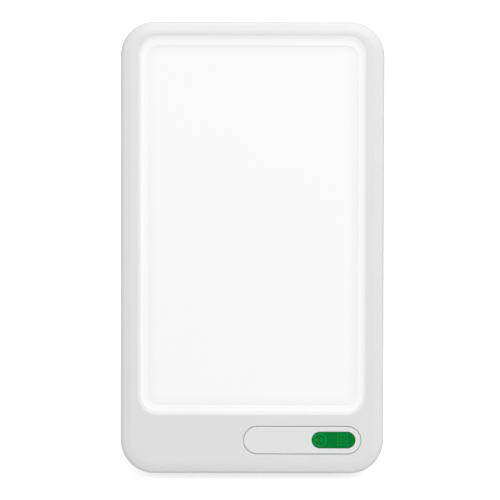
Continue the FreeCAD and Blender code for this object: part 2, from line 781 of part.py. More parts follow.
def leg_recess(body):
    """Islands on the inside of the cover, the leg's recess in them and a scoop at each side."""
    scoops = [(x, size.scoop_z) for x in both_sides(leg_width / 2)]
    sketch = front_sketch(body, "recess_island_outline", recess_inside)
    leg_outline(sketch, hinge_height, recess_top + size.wall, recess_bottom - size.wall,
                size.recess_gap + size.wall)
    grow_back(body, sketch, "recess_island", cover_inside - recess_inside)
    sketch = front_sketch(body, "scoop_island_outline", recess_inside)
    circles(sketch, scoops, size.scoop_radius + size.wall)
    grow_back(body, sketch, "scoop_islands", cover_inside - recess_inside)

    sketch = front_sketch(body, "recess_outline", size.lamp_depth)
    leg_outline(sketch, hinge_height, recess_top, recess_bottom, size.recess_gap)
    recess = cut_forward(body, sketch, "recess", size.recess_depth)
    low = recess_bottom.number
    deep = size.recess_depth.number - NEAR

    def lower_corner(box):
        return box.YLength > deep and box.XLength < NEAR and abs(box.ZMin - low) < NEAR
    fillet(body, recess, "recess_corners", size.recess_corner, lower_corner)
    sketch = front_sketch(body, "scoop_outline", size.lamp_depth)
    circles(sketch, scoops, size.scoop_radius)
    cut_forward(body, sketch, "scoops", size.recess_depth)


def hinge_seats(body):
    """Bosses beside the recess with blind bores for the ends of the hinge pin."""
    recess_side = leg_width / 2 + size.recess_gap
    boss_width = size.pin_seat + size.wall
    sketch = front_sketch(body, "hinge_boss_outline", recess_inside)
    for x in both_sides(recess_side + boss_width / 2):
        rectangle(sketch, x, hinge_height, boss_width, size.hinge_boss)
    grow_back(body, sketch, "hinge_bosses", cover_inside - recess_inside)
    sketch = side_sketch(body, "pin_bore_outline")
    circle(sketch, hinge_y, hinge_height, size.pin_diameter / 2 + size.pin_fit)
    cut_across(body, sketch, "pin_bores", (recess_side + size.pin_seat + size.pin_fit) * 2)


def cover_posts(body):
    """Posts for the case screws and the driver board, with their wells and pilot holes."""
    sketch = front_sketch(body, "case_post_outline", size.bezel_depth)
    circles(sketch, case_screw_places(), size.case_post_radius)
    grow_back(body, sketch, "case_posts", cover_inside - size.bezel_depth)
    sketch = front_sketch(body, "case_well_outline", size.lamp_depth)
    circles(sketch, case_screw_places(), size.case_well_radius)
    cut_forward(body, sketch, "case_wells", size.lamp_depth - size.case_well_floor)
    sketch = front_sketch(body, "case_hole_outline", size.case_well_floor)
    circles(sketch, case_screw_places(), size.case_screw_radius + size.hole_clearance)
    cut_forward(body, sketch, "case_holes", size.case_well_floor - size.bezel_depth)

    sketch = front_sketch(body, "driver_post_outline", driver_back)
    circles(sketch, driver_screw_places(), size.board_post_radius)
    grow_back(body, sketch, "driver_posts", cover_inside - driver_back)
    sketch = front_sketch(body, "driver_pilot_outline", driver_back)
    circles(sketch, driver_screw_places(), size.board_screw_radius + size.pilot_clearance)
    cut_back(body, sketch, "driver_pilots", size.board_screw_length + size.pilot_end_gap)


def board_ribs(body):
    """Ribs that carry the LED board beside the recess, and one under the driver board."""
    sketch = front_sketch(body, "led_rib_outline", led_board_back)
    rib_step = led_board_height / 2 - size.led_rib_end_gap - size.led_rib_length / 2
    for x in both_sides(led_board_width / 2 - size.led_rib_inset):
        for step in (-1, 0, 1):
            rectangle(sketch, x, window_centre + rib_step * step, size.wall,
                      size.led_rib_length)
    grow_back(body, sketch, "led_ribs", cover_inside - led_board_back)
    sketch = front_sketch(body, "driver_rib_outline", driver_back)
    rectangle(sketch, 0, driver_top - size.driver_seat_inset, size.driver_rib_length, size.wall)
    grow_back(body, sketch, "driver_rib", recess_inside - driver_back)


def vents(body):
    """A row of slots between the leg's recess and the top edge."""
    sketch = front_sketch(body, "vent_outline", size.lamp_depth)
    step = size.vent_width + size.vent_gap
    high = size.lamp_height - size.vent_drop
    low = recess_top + size.vent_rise
    rectangle(sketch, -step * (size.vent_count - 1) / 2, (high + low) / 2, size.vent_width,
              high - low)
    slot = cut_forward(body, sketch, "vent", size.wall + PAST)
    repeat(body, slot, sketch, "H_Axis", "vent_row", step, size.vent_count)


def strip_sketch(body, name, gap):
    """The foot strip's outline on the plane of the desk."""
    gap = as_size(gap)
    sketch = top_sketch(body, name)
    sketch.AttachmentOffset = Placement(Vector(), Rotation(Vector(1, 0, 0), size.lean_angle.number))
    bind(sketch, "AttachmentOffset.Base.y", contact_y)
    bind(sketch, "AttachmentOffset.Base.z", contact_z)
    bind(sketch, "AttachmentOffset.Rotation.Angle", size.lean_angle)
    rounded_rectangle(sketch, 0, 0, strip_length + gap * 2, size.strip_width + gap * 2,
                      size.strip_radius + gap)
    return sketch


# ---------------------------------------------------------------- light panel

def window_panel(label, depth, thickness, smaller):
    """A flat panel behind the light opening, smaller than the diffuser all round."""
    smaller = as_size(smaller)
    body = new_body(label)
    sketch = front_sketch(body, f"{label}_outline", depth)
    rounded_rectangle(sketch, 0, window_centre, diffuser_width - smaller * 2,
                      diffuser_height - smaller * 2, diffuser_radius - smaller)
    grow_back(body, sketch, f"{label}_sheet", thickness)
    return body


def diffuser_panel():
    body = window_panel("diffuser_panel", size.face_wall, size.diffuser_thickness, 0)
    sketch = front_sketch(body, "step_outline", size.face_wall)
    rounded_rectangle(sketch, 0, window_centre, window_width - size.step_inset * 2,
                      window_height - size.step_inset * 2, size.step_radius)
    cut_back(body, sketch, "step", size.step_depth)
    return body


def diffusion_film():
    return window_panel("diffusion_film", diffuser_back, size.film_thickness, size.film_inset)


def reflector_frame():
    """A frame whose walls lean in from the diffuser to the LED board."""
    body = new_body("reflector_frame")
    lean = Size(f"atan({(size.reflector_inset / size.reflector_depth).text})",
                math.degrees(math.atan2(size.reflector_inset.number, size.reflector_depth.number)))
    sketch = front_sketch(body, "outer_outline", film_back)
    rounded_rectangle(sketch, 0, window_centre, reflector_width, reflector_height,
                      reflector_radius)
    outer = grow_back(body, sketch, "outer_wall", size.reflector_depth)
    bind(outer, "TaperAngle", -lean)
    sketch = front_sketch(body, "inner_outline", film_back)
    rounded_rectangle(sketch, 0, window_centre, reflector_width - size.reflector_wall * 2,
                      reflector_height - size.reflector_wall * 2,
                      reflector_radius - size.reflector_wall)
    inner = cut_back(body, sketch, "inner_wall", size.reflector_depth)
    bind(inner, "TaperAngle", -lean)
    return body


def led_board():
    body = new_body("led_board")
    sketch = front_sketch(body, "led_board_outline", led_board_front)
    rounded_rectangle(sketch, 0, window_centre, led_board_width, led_board_height,
                      led_board_radius)
    grow_back(body, sketch, "led_board_sheet", size.board_thickness)
    return body


def leds():
    """One row of LEDs, repeated up the board."""
    body = new_body("leds")
    first_x = -led_step_x * (size.led_columns - 1) / 2
    first_z = window_centre - led_step_z * (size.led_rows - 1) / 2
    sketch = front_sketch(body, "led_row_outline", led_board_front)
    for column in range(int(size.led_columns.number)):
        rectangle(sketch, first_x + led_step_x * column, first_z, size.led_length,
                  size.led_width)
    row = grow_forward(body, sketch, "led_row", size.led_height)
    repeat(body, row, sketch, "V_Axis", "led_rows", led_step_z, size.led_rows)
    return body


# ---------------------------------------------------------------- screws

def screws(label, places, seat, head_radius, head_height, shank_radius, length, forward):
    """Screws with their heads on a seat plane and their shanks pointing forward or back."""
    body = new_body(label)
    grow_head, grow_shank = (grow_back, grow_forward) if forward else (grow_forward, grow_back)
    sketch = front_sketch(body, f"{label}_head_outline", seat)
    circles(sketch, places, head_radius)
    grow_head(body, sketch, f"{label}_heads", head_height)
    sketch = front_sketch(body, f"{label}_shank_outline", seat)
    circles(sketch, places, shank_radius)
    grow_shank(body, sketch, f"{label}_shanks", length)
    return body


def case_screws():
    return screws("case_screws", case_screw_places(), size.case_well_floor, size.case_head_radius,
                  size.case_head_height, size.case_screw_radius, size.case_screw_length, True)


def driver_board_screws():
    length = size.board_thickness + size.board_screw_length
    return screws("driver_board_screws", driver_screw_places(), size.driver_front,
                  size.board_head_radius, size.board_head_height, size.board_screw_radius,
                  length, False)


# ---------------------------------------------------------------- driver board

def block(label, x, z, width, height, front, depth):
    """A rectangular block whose front lies at a depth behind the face."""
    body = new_body(label)
    sketch = front_sketch(body, f"{label}_outline", front)
    rectangle(sketch, x, z, width, height)
    grow_back(body, sketch, f"{label}_block", depth)
    return body


def driver_board():
    body = new_body("driver_board")
    sketch = front_sketch(body, "driver_board_outline", size.driver_front)
    rounded_rectangle(sketch, 0, driver_z, driver_end * 2, size.driver_height,
                      size.driver_corner)
    grow_back(body, sketch, "driver_board_sheet", size.board_thickness)
    sketch = front_sketch(body, "driver_board_hole_outline", size.driver_front)
    circles(sketch, driver_screw_places(), size.board_screw_radius + size.hole_clearance)
    cut_back(body, sketch, "driver_board_holes", size.board_thickness)
    return body


def electrolytic_capacitors():
    body = new_body("electrolytic_capacitors")
    sketch = front_sketch(body, "capacitor_outline", driver_back)
    for step in (0, 1):
        up = (size.capacitor_diameter + size.capacitor_gap) * step
        circle(sketch, capacitor_x, size.capacitor_z + up, size.capacitor_diameter / 2)
    grow_back(body, sketch, "capacitor_cans", size.capacitor_height)
    return body


def power_inductor():
    body = block("power_inductor", inductor_x, size.inductor_z, size.inductor_size,
                 size.inductor_size, driver_back, size.inductor_height)
    deep = size.inductor_height.number - NEAR
    fillet(body, body.Tip, "inductor_corners", size.inductor_corner,
           lambda box: box.YLength > deep)
    return body


board_connector_z = driver_top - size.connector_inset - size.connector_height / 2
led_connector_z = led_board_bottom + size.connector_inset + size.connector_height / 2


def led_lead(label, side):
    """A short straight lead between the facing ends of the two connectors."""
    body = new_body(label)
    start = board_connector_z + size.connector_height / 2
    end = led_connector_z - size.connector_height / 2
    shared_depth = (led_board_back + driver_back + size.connector_depth) / 2
    sketch = top_sketch(body, f"{label}_section", start)
    half_step = (size.lead_diameter + size.lead_gap) / 2
    circle(sketch, connector_x + half_step * side, shared_depth, size.lead_diameter / 2)
    extrude("Pad", body, sketch, f"{label}_wire", end - start)
    return body


def power_inlet():
    body = block("power_inlet", inlet_x, size.inlet_z, size.inlet_width, size.inlet_width,
                 driver_back, inlet_shoulder - driver_back)
    sketch = front_sketch(body, "nose_outline", inlet_shoulder)
    circle(sketch, inlet_x, size.inlet_z, size.inlet_nose_diameter / 2)
    grow_back(body, sketch, "nose", inlet_end - inlet_shoulder)
    sketch = front_sketch(body, "plug_bore_outline", inlet_end)
    circle(sketch, inlet_x, size.inlet_z, size.inlet_bore_diameter / 2)
    cut_forward(body, sketch, "plug_bore", size.inlet_bore_depth)
    return body


def power_inlet_pin():
    body = new_body("power_inlet_pin")
    floor = inlet_end - size.inlet_bore_depth
    sketch = front_sketch(body, "inlet_pin_outline", floor)
    circle(sketch, inlet_x, size.inlet_z, size.inlet_pin_diameter / 2)
    grow_back(body, sketch, "inlet_pin", size.inlet_bore_depth - size.inlet_pin_inset)
    return body


# ---------------------------------------------------------------- controls

def control_plate():
    body = new_body("control_plate")
    sketch = front_sketch(body, "plate_outline", 0)
    stadium(sketch, plate_x, size.plate_z, size.plate_length, size.plate_width)
    plate = grow_back(body, sketch, "plate", size.plate_thickness)
    bevel(body, plate, "plate_edge", size.plate_bevel, at_depth(0))
    sketch = front_sketch(body, "plate_hole_outline", 0)
    stadium(sketch, button_x, size.plate_z, button_hole_length, button_hole_width)
    cut_back(body, sketch, "plate_hole", size.plate_thickness)
    return body


def button_cap():
    body = new_body("button_cap")
    sketch = front_sketch(body, "cap_outline", -size.button_proud)
    stadium(sketch, button_x, size.plate_z, size.button_length, size.button_width)
    cap = grow_back(body, sketch, "cap", size.button_proud + flange_front)
    bevel(body, cap, "cap_edge", size.button_edge, at_depth(-size.button_proud))
    sketch = front_sketch(body, "flange_outline", flange_front)
    stadium(sketch, button_x, size.plate_z, size.button_length + size.button_flange * 2,
            size.button_width + size.button_flange * 2)
    grow_back(body, sketch, "flange", size.flange_thickness)
    return body


def switch_body():
    body = block("switch_body", button_x, size.plate_z, size.switch_length, size.switch_width,
                 switch_front, size.switch_height)
    bevel(body, body.Tip, "switch_edge", size.switch_bevel, at_depth(switch_front))
    sketch = front_sketch(body, "plunger_bore_outline", switch_front)
    circle(sketch, button_x, size.plate_z, size.plunger_diameter / 2 + size.plunger_clearance)
    cut_back(body, sketch, "plunger_bore",
             size.plunger_overlap + size.button_travel + size.plunger_clearance)
    return body


def switch_plunger():
    body = new_body("switch_plunger")
    sketch = front_sketch(body, "plunger_outline", flange_back)
    circle(sketch, button_x, size.plate_z, size.plunger_diameter / 2)
    grow_back(body, sketch, "plunger", switch_front + size.plunger_overlap - flange_back)
    return body


# ---------------------------------------------------------------- stand

def stand_leg():
    """Drawn about the hinge pin: its front face lies on the recess floor's side."""
    body = new_body("stand_leg")
    sketch = side_sketch(body, "leg_profile")
    end_height = size.leg_pad_thickness
    outline(sketch, [
        (-half_leg, leg_end(-half_leg, end_height)),
        (half_leg, leg_end(half_leg, end_height)),
        (half_leg, size.heel_rise),
        (heel_y, size.heel_rise),
        (-half_leg, heel_kink),
    ])
    plate = extrude("Pad", body, sketch, "leg_plate", leg_width, both_ways=True)
    top = size.heel_rise.number
    back = half_leg.number

    def upper_back_edge(box):
        return abs(box.ZMin - top) < NEAR and abs(box.YMin - back) < NEAR
    fillet(body, plate, "heel_edge", size.heel_round, upper_back_edge)

    sketch = front_sketch(body, "taper_outline", -half_leg)
    low = pad_low - size.leg_pad_thickness
    for side in (-1, 1):
        wide = leg_width / 2 * side
        narrow = leg_foot_width / 2 * side
        beyond = wide + side * size.wall.number
        outline(sketch, [(wide, -size.leg_taper_start), (narrow, pad_low), (narrow, low),
                         (beyond, low), (beyond, -size.leg_taper_start)])
    taper = cut_back(body, sketch, "taper", size.leg_thickness)
    low_end = pad_low.number + size.recess_corner.number
    thick = size.leg_thickness.number - NEAR

    def foot_corner(box):
        return box.YLength > thick and box.ZMax < low_end and box.XLength < thick / 2
    fillet(body, taper, "foot_corners", size.recess_corner, foot_corner)

    sketch = front_sketch(body, "pocket_outline", -half_leg)
    first_x = -pocket_across * (size.pocket_columns - 1) / 2
    pocket_height = pocket_down - size.leg_rib
    for column in range(int(size.pocket_columns.number)):
        rectangle(sketch, first_x + pocket_across * column, -size.pocket_start - pocket_height / 2,
                  pocket_across - size.leg_rib, pocket_height)
    pockets = cut_back(body, sketch, "pockets", size.leg_thickness - size.leg_skin)
    ladder = repeat(body, pockets, sketch, "V_Axis", "pocket_ladder", pocket_down,
                    size.pocket_rows)
    ladder.Reversed = True

    sketch = side_sketch(body, "leg_bore_outline")
    circle(sketch, 0, 0, size.pin_diameter / 2 + size.pin_clearance)
    cut_across(body, sketch, "leg_bore", leg_width * 2)
    sketch = side_sketch(body, "pad_slot_outline")
    half_slot = size.leg_pad_tongue / 2 + size.fit_gap
    slot_top = size.leg_pad_thickness + size.leg_pad_tongue + size.fit_gap
    outline(sketch, [
        (-half_slot, leg_end(-half_slot, 0)),
        (half_slot, leg_end(half_slot, 0)),
        (half_slot, leg_end(half_slot, slot_top)),
        (-half_slot, leg_end(-half_slot, slot_top)),
    ])
    cut_across(body, sketch, "pad_slot", leg_pad_length + size.fit_gap * 2)
    return body


leg_pad_length = leg_foot_width - (size.recess_corner + size.leg_pad_inset) * 2


def stand_foot_pad():
    """A rubber pad whose flat face lies on the desk, with a tongue in the leg's slot."""
    body = new_body("stand_foot_pad")
    half_pad = half_leg - size.fit_gap
    half_tongue = size.leg_pad_tongue / 2
    under_leg = size.leg_pad_thickness
    tongue_top = size.leg_pad_thickness + size.leg_pad_tongue
    sketch = side_sketch(body, "pad_profile")
    outline(sketch, [
        (-half_pad, leg_end(-half_pad, 0)),
        (half_pad, leg_end(half_pad, 0)),
        (half_pad, leg_end(half_pad, under_leg)),
        (half_tongue, leg_end(half_tongue, under_leg)),
        (half_tongue, leg_end(half_tongue, tongue_top)),
        (-half_tongue, leg_end(-half_tongue, tongue_top)),
        (-half_tongue, leg_end(-half_tongue, under_leg)),
        (-half_pad, leg_end(-half_pad, under_leg)),
    ])
    pad = extrude("Pad", body, sketch, "pad_bar", leg_pad_length, both_ways=True)
    corners = [leg_end(-half_pad, 0).number, leg_end(half_pad, 0).number]

    def lower_edge(box):
        flat = box.ZLength < NEAR and box.XLength > NEAR
        return flat and min(abs(box.ZMin - z) for z in corners) < NEAR
    fillet(body, pad, "pad_edges", size.leg_pad_edge, lower_edge)
    return body


def hinge_pin():
    body = new_body("hinge_pin")
    sketch = side_sketch(body, "pin_outline")
    circle(sketch, hinge_y, hinge_height, size.pin_diameter / 2)
    half_length = leg_width / 2 + size.recess_gap + size.pin_seat
    pin = extrude("Pad", body, sketch, "pin", half_length * 2, both_ways=True)
    bevel(body, pin, "pin_ends", size.pin_bevel, lambda box: box.XLength < NEAR)
    return body


def foot_strip():
    body = new_body("foot_strip")
    sketch = strip_sketch(body, "strip_outline", 0)
    extrude("Pad", body, sketch, "strip", size.strip_proud + size.strip_sunk)
    return body


# ---------------------------------------------------------------- the lamp

def place_on_panel(body):
    """Leans a piece of the panel back about the middle of the foot strip's contact face."""
    body.Placement = Placement(Vector(), Rotation(Vector(1, 0, 0), -size.lean_angle.number))
    bind(body, "Placement.Rotation.Angle", -size.lean_angle)
    bind(body, "Placement.Base.y", -(contact_y * cosine_of_lean + contact_z * sine_of_lean))
    bind(body, "Placement.Base.z", contact_y * sine_of_lean - contact_z * cosine_of_lean)


def place_on_hinge(body):
    """Opens a piece of the stand until the leg's heel stops it."""
    body.Placement = Placement(Vector(), Rotation(Vector(1, 0, 0), leg_tilt.number))
    bind(body, "Placement.Rotation.Angle", leg_tilt)
    bind(body, "Placement.Base.y", hinge_desk_y)
    bind(body, "Placement.Base.z", hinge_desk_z)


def make_panel():
    return [
        front_bezel(), rear_cover(), diffuser_panel(), diffusion_film(), reflector_frame(),
        led_board(), leds(), driver_board(), driver_board_screws(),
        block("driver_chip", size.chip_x, size.chip_z, size.chip_length, size.chip_width,
              driver_back, size.chip_height),
        power_inductor(), electrolytic_capacitors(),
        block("board_connector", connector_x, board_connector_z, size.connector_length,
              size.connector_height, driver_back, size.connector_depth),
        block("led_connector", connector_x, led_connector_z, size.connector_length,
              size.connector_height, led_board_back, size.connector_depth),
        led_lead("led_lead_red", -1), led_lead("led_lead_black", 1),
        power_inlet(), power_inlet_pin(), case_screws(), control_plate(), button_cap(),
        switch_body(), switch_plunger(), hinge_pin(), foot_strip(),
    ]


def make_stand():
    return [stand_leg(), stand_foot_pad()]


def check(subparts):
    doc.recompute()
    for thing in doc.Objects:
        if "Invalid" in thing.State or "Error" in thing.State:
            raise RuntimeError(f"{thing.Label} did not build: {thing.State}")
    for subpart in subparts:
        shape = subpart.Shape
        if shape.isNull() or not shape.isValid() or shape.Volume <= 0:
            raise RuntimeError(f"{subpart.Label} is not a sound solid")


def export(subparts):
    os.makedirs("parts", exist_ok=True)
    for subpart in subparts:
        subpart.Shape.exportStep(f"parts/{subpart.Label}.step")


panel = make_panel()
stand = make_stand()
for piece in panel:
    place_on_panel(piece)
for piece in stand:
    place_on_hinge(piece)
check(panel + stand)
export(panel + stand)
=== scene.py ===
"""Light therapy lamp: the finished surfaces of its pieces, the desk it stands on, light and camera.

The panel's pieces are drawn in millimetres in the panel's own frame: x to the right, y back from
the front face, z up from the bottom edge. `panel_place` then leans them back and gives metres.
"""
import json
import math

import bmesh
import bpy
from mathutils import Matrix, Quaternion, Vector


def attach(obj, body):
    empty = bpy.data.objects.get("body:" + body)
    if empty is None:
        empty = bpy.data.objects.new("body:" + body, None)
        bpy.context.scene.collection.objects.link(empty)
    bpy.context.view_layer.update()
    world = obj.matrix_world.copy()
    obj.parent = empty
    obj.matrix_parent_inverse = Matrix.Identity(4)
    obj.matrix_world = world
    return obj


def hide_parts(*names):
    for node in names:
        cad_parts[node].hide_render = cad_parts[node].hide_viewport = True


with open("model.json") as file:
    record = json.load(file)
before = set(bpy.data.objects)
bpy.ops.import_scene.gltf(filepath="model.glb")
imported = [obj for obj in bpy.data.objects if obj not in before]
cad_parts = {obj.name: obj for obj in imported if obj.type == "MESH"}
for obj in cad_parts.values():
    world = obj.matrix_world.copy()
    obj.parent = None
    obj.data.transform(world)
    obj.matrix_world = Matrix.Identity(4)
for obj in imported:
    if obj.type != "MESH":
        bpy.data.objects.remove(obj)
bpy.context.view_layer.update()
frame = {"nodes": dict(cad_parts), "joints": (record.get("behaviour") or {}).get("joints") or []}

mm = 0.001

# ---- The panel's own frame
# The lamp leans back on its leg. The button travels straight into the panel, so its axis gives the
# lean, and the bezel's lowest edge and front face give the place of the panel's own origin.
press_axis = next(j["axis"] for j in frame["joints"] if j["name"] == "button_press")
lean = math.atan2(-press_axis[2], press_axis[1])
upright = Matrix.Rotation(lean, 4, "X")
bezel_corners = [upright @ v.co for v in frame["nodes"]["front_bezel"].data.vertices]
panel_origin = Vector((0, min(v.y for v in bezel_corners), min(v.z for v in bezel_corners)))
panel_place = upright.inverted() @ Matrix.Translation(panel_origin) @ Matrix.Scale(mm, 4)
panel_width = 2 * max(v.x for v in bezel_corners) / mm
panel_height = (max(v.z for v in bezel_corners) - panel_origin.z) / mm


# ---- Front bezel
# A moulded ABS frame with a broad chin. Its border falls away gently before the rounded outer
# edge, and a soft lip leads down to the light opening. Four screws from behind hold it.
corner_radius = 20.0
bezel_depth = 10.0
face_wall = 2.4
shell_wall = 2.2
lap_wall = 1.2
lap_front = 7.3
parting_bevel = 0.3
crown_run = 5.6
crown_drop = 1.0
crown_blend = 12.0
edge_radius = 3.0
window_width = 131.0
window_height = 220.4
window_radius = 9.3
window_z = 148.0
lip_run = 2.6
lip_drop = 1.2
lip_blend = 1.6
lip_break = 0.12
lip_break_rise = 0.085
rim_inner = 1.7
rim_outer = 2.5
rim_back = 4.4

screw_places = [(x, z) for x in (-67.3, 67.3) for z in (10.7, 257.3)]
boss_radius = 2.4
pilot_radius = 1.33
pilot_front = 4.7

# The seat of the control plate and the button's opening, cut into the chin for the two pieces
# that have their sections further on.
plate_x, plate_z = 29.8, 20.05
plate_length, plate_width, plate_thickness = 69.3, 16.0, 1.4
plate_gap = 0.5
seat_break, seat_break_depth = 0.15, 0.12
button_x, button_z = 48.4, 20.2
button_length, button_width = 25.6, 9.5
button_gap = 0.2


def rounded_ring(width, height, radius, centre_z, depth, steps=16):
    """Points of a rounded rectangle at one depth, anticlockwise from the lower right corner."""
    points = []
    for corner, (side_x, side_z) in enumerate([(1, -1), (1, 1), (-1, 1), (-1, -1)]):
        x = side_x * (width / 2 - radius)
        z = centre_z + side_z * (height / 2 - radius)
        for step in range(steps + 1):
            angle = math.radians(90) * (corner - 1 + step / steps)
            points.append((x + radius * math.cos(angle), depth, z + radius * math.sin(angle)))
    return points


def panel_ring(inset, depth):
    return rounded_ring(panel_width - 2 * inset, panel_height - 2 * inset, corner_radius - inset,
                        panel_height / 2, depth)


def window_ring(grow, depth):
    return rounded_ring(window_width + 2 * grow, window_height + 2 * grow, window_radius + grow,
                        window_z, depth)


def pill_ring(x, z, length, width, depth, steps=24):
    """Points of a bar with half-round ends at one depth."""
    reach = (length - width) / 2
    points = []
    for side in (1, -1):
        for step in range(steps + 1):
            angle = math.pi * (step / steps - 0.5)
            points.append((x + side * (reach + width / 2 * math.cos(angle)), depth,
                           z + side * width / 2 * math.sin(angle)))
    return points


def plate_ring(grow, depth):
    return pill_ring(plate_x, plate_z, plate_length + 2 * grow, plate_width + 2 * grow, depth)


def cap_ring(grow, depth):
    return pill_ring(button_x, button_z, button_length + 2 * grow, button_width + 2 * grow, depth)


def add_piece(name, data):
    """Adds a mesh to the scene as an object at the origin."""
    piece = bpy.data.objects.new(name, data)
    bpy.context.scene.collection.objects.link(piece)
    return piece


def piece_from(name, shape):
    """Adds what was drawn in a bmesh to the scene and frees the bmesh."""
    data = bpy.data.meshes.new(name)
    shape.to_mesh(data)
    shape.free()
    return add_piece(name, data)


def skin(shape, loops, close):
    """Quads between loops of equal count, joined in a ring or capped at both ends."""
    for first, second in zip(loops, loops[1:] + loops[:1] if close else loops[1:]):
        for step in range(len(first)):
            following = (step + 1) % len(first)
            shape.faces.new((first[step], first[following], second[following], second[step]))
    if not close:
        shape.faces.new(loops[0])
        shape.faces.new(loops[-1])


def loft(name, rings, close=False):
    """A closed skin over rings of points."""
    shape = bmesh.new()
    skin(shape, [[shape.verts.new(point) for point in ring] for ring in rings], close)
    bmesh.ops.recalc_face_normals(shape, faces=shape.faces)
    return piece_from(name, shape)


def rods(name, places, radius, front, back, steps=32):
    """Round bars from one depth to another at the given x and z."""
    shape = bmesh.new()
    lie_back = Matrix.Rotation(math.pi / 2, 4, "X")
    for x, z in places:
        bmesh.ops.create_cone(shape, cap_ends=True, segments=steps, radius1=radius, radius2=radius,
                              depth=back - front,
                              matrix=Matrix.Translation((x, (front + back) / 2, z)) @ lie_back)
    return piece_from(name, shape)


def freeze(piece):
    """Turns the piece with its modifiers into a plain mesh."""
    bpy.context.view_layer.update()
    evaluated = piece.evaluated_get(bpy.context.evaluated_depsgraph_get())
    plain = bpy.data.meshes.new_from_object(evaluated)
    piece.modifiers.clear()
    piece.data = plain


def combine(piece, other, operation):
    """Adds the other's volume to the piece or takes it out, and removes the other."""
    modifier = piece.modifiers.new(operation, "BOOLEAN")
    modifier.operation = operation
    modifier.solver = "EXACT"
    modifier.object = other
    freeze(piece)
    bpy.data.objects.remove(other)


def linear(hex_colour):
    """sRGB hex to the linear colour that shaders take."""
    channels = [int(hex_colour[i:i + 2], 16) / 255 for i in (1, 3, 5)]
    curve = [c / 12.92 if c <= 0.04045 else ((c + 0.055) / 1.055) ** 2.4 for c in channels]
    return (*curve, 1.0)


def add_node(tree, kind, links=(), **settings):
    """Adds a node, its settings, and for each named socket a value or the socket that feeds it."""
    node = tree.nodes.new(kind)
    for name, value in settings.items():
        setattr(node, name, value)
    for socket, source in links:
        if isinstance(source, bpy.types.NodeSocket):
            tree.links.new(source, node.inputs[socket])
        else:
            node.inputs[socket].default_value = source
    return node


def shader_of(material):
    return material.node_tree.nodes["Principled BSDF"]


def new_material(name, colour, roughness, ior=1.5, metallic=0.0):
    """A Principled material; its patterns are added afterwards."""
    material = bpy.data.materials.new(name)
    material.use_nodes = True
    shader = shader_of(material)
    shader.inputs["Base Color"].default_value = linear(colour)
    shader.inputs["Roughness"].default_value = roughness
    shader.inputs["IOR"].default_value = ior
    shader.inputs["Metallic"].default_value = metallic
    material.diffuse_color = linear(colour)
    return material


def noise_over(material, spacing, stretch, detail):
    """Noise in Object coordinates whose blobs lie a spacing in millimetres apart."""
    tree = material.node_tree
    place = add_node(tree, "ShaderNodeTexCoord")
    mapping = add_node(tree, "ShaderNodeMapping", [
        ("Vector", place.outputs["Object"]), ("Scale", stretch)])
    return add_node(tree, "ShaderNodeTexNoise", [
        ("Vector", mapping.outputs["Vector"]), ("Scale", 1 / (spacing * mm)), ("Detail", detail)])


def add_grain(material, spacing, depth, stretch=(1, 1, 1)):
    """A grain in the surface, its spacing and depth in millimetres."""
    tree = material.node_tree
    noise = noise_over(material, spacing, stretch, detail=2.0)
    bump = add_node(tree, "ShaderNodeBump", [
        ("Height", noise.outputs["Fac"]), ("Strength", 1.0), ("Distance", depth * mm)])
    tree.links.new(bump.outputs["Normal"], shader_of(material).inputs["Normal"])


def vary(material, socket, low, high, spacing, stretch=(1, 1, 1)):
    """Lets a roughness or a colour drift between two values over a spacing in millimetres."""
    tree = material.node_tree
    noise = noise_over(material, spacing, stretch, detail=3.0)
    noise_low, noise_high = 0.35, 0.65
    if socket == "Base Color":
        ramp = add_node(tree, "ShaderNodeValToRGB", [("Fac", noise.outputs["Fac"])])
        for end, position, colour in ((0, noise_low, low), (1, noise_high, high)):
            ramp.color_ramp.elements[end].position = position
            ramp.color_ramp.elements[end].color = linear(colour)
        result = ramp.outputs["Color"]
    else:
        spread = add_node(tree, "ShaderNodeMapRange", [
            ("Value", noise.outputs["Fac"]), ("From Min", noise_low), ("From Max", noise_high),
            ("To Min", low), ("To Max", high)])
        result = spread.outputs["Result"]
    tree.links.new(result, shader_of(material).inputs[socket])


def dress(piece, material, body, replaced=None, place=None, sharp=35):
    """Puts a piece in place, shades it, gives it its material and lets it ride on its body."""
    if place is not None:
        piece.data.transform(place)
    piece.data.shade_smooth()
    piece.data.set_sharp_from_angle(angle=math.radians(sharp))
    level = piece.modifiers.new("flat faces stay flat", "WEIGHTED_NORMAL")
    level.keep_sharp = True
    freeze(piece)
    piece.data.materials.clear()
    piece.data.materials.append(material)
    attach(piece, body)
    if replaced is not None:
        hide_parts(replaced)


# ABS, injection moulded in a spark-eroded tool: a dull satin white. The grain, a third of a
# millimetre apart, is barely seen, and the gloss drifts a little over 30 mm.
abs_white = "#E2E2E2"
white_abs = new_material("ABS moulded satin white", abs_white, 0.42, ior=1.53)
vary(white_abs, "Roughness", 0.38, 0.46, 30)
add_grain(white_abs, 0.35, 0.006)


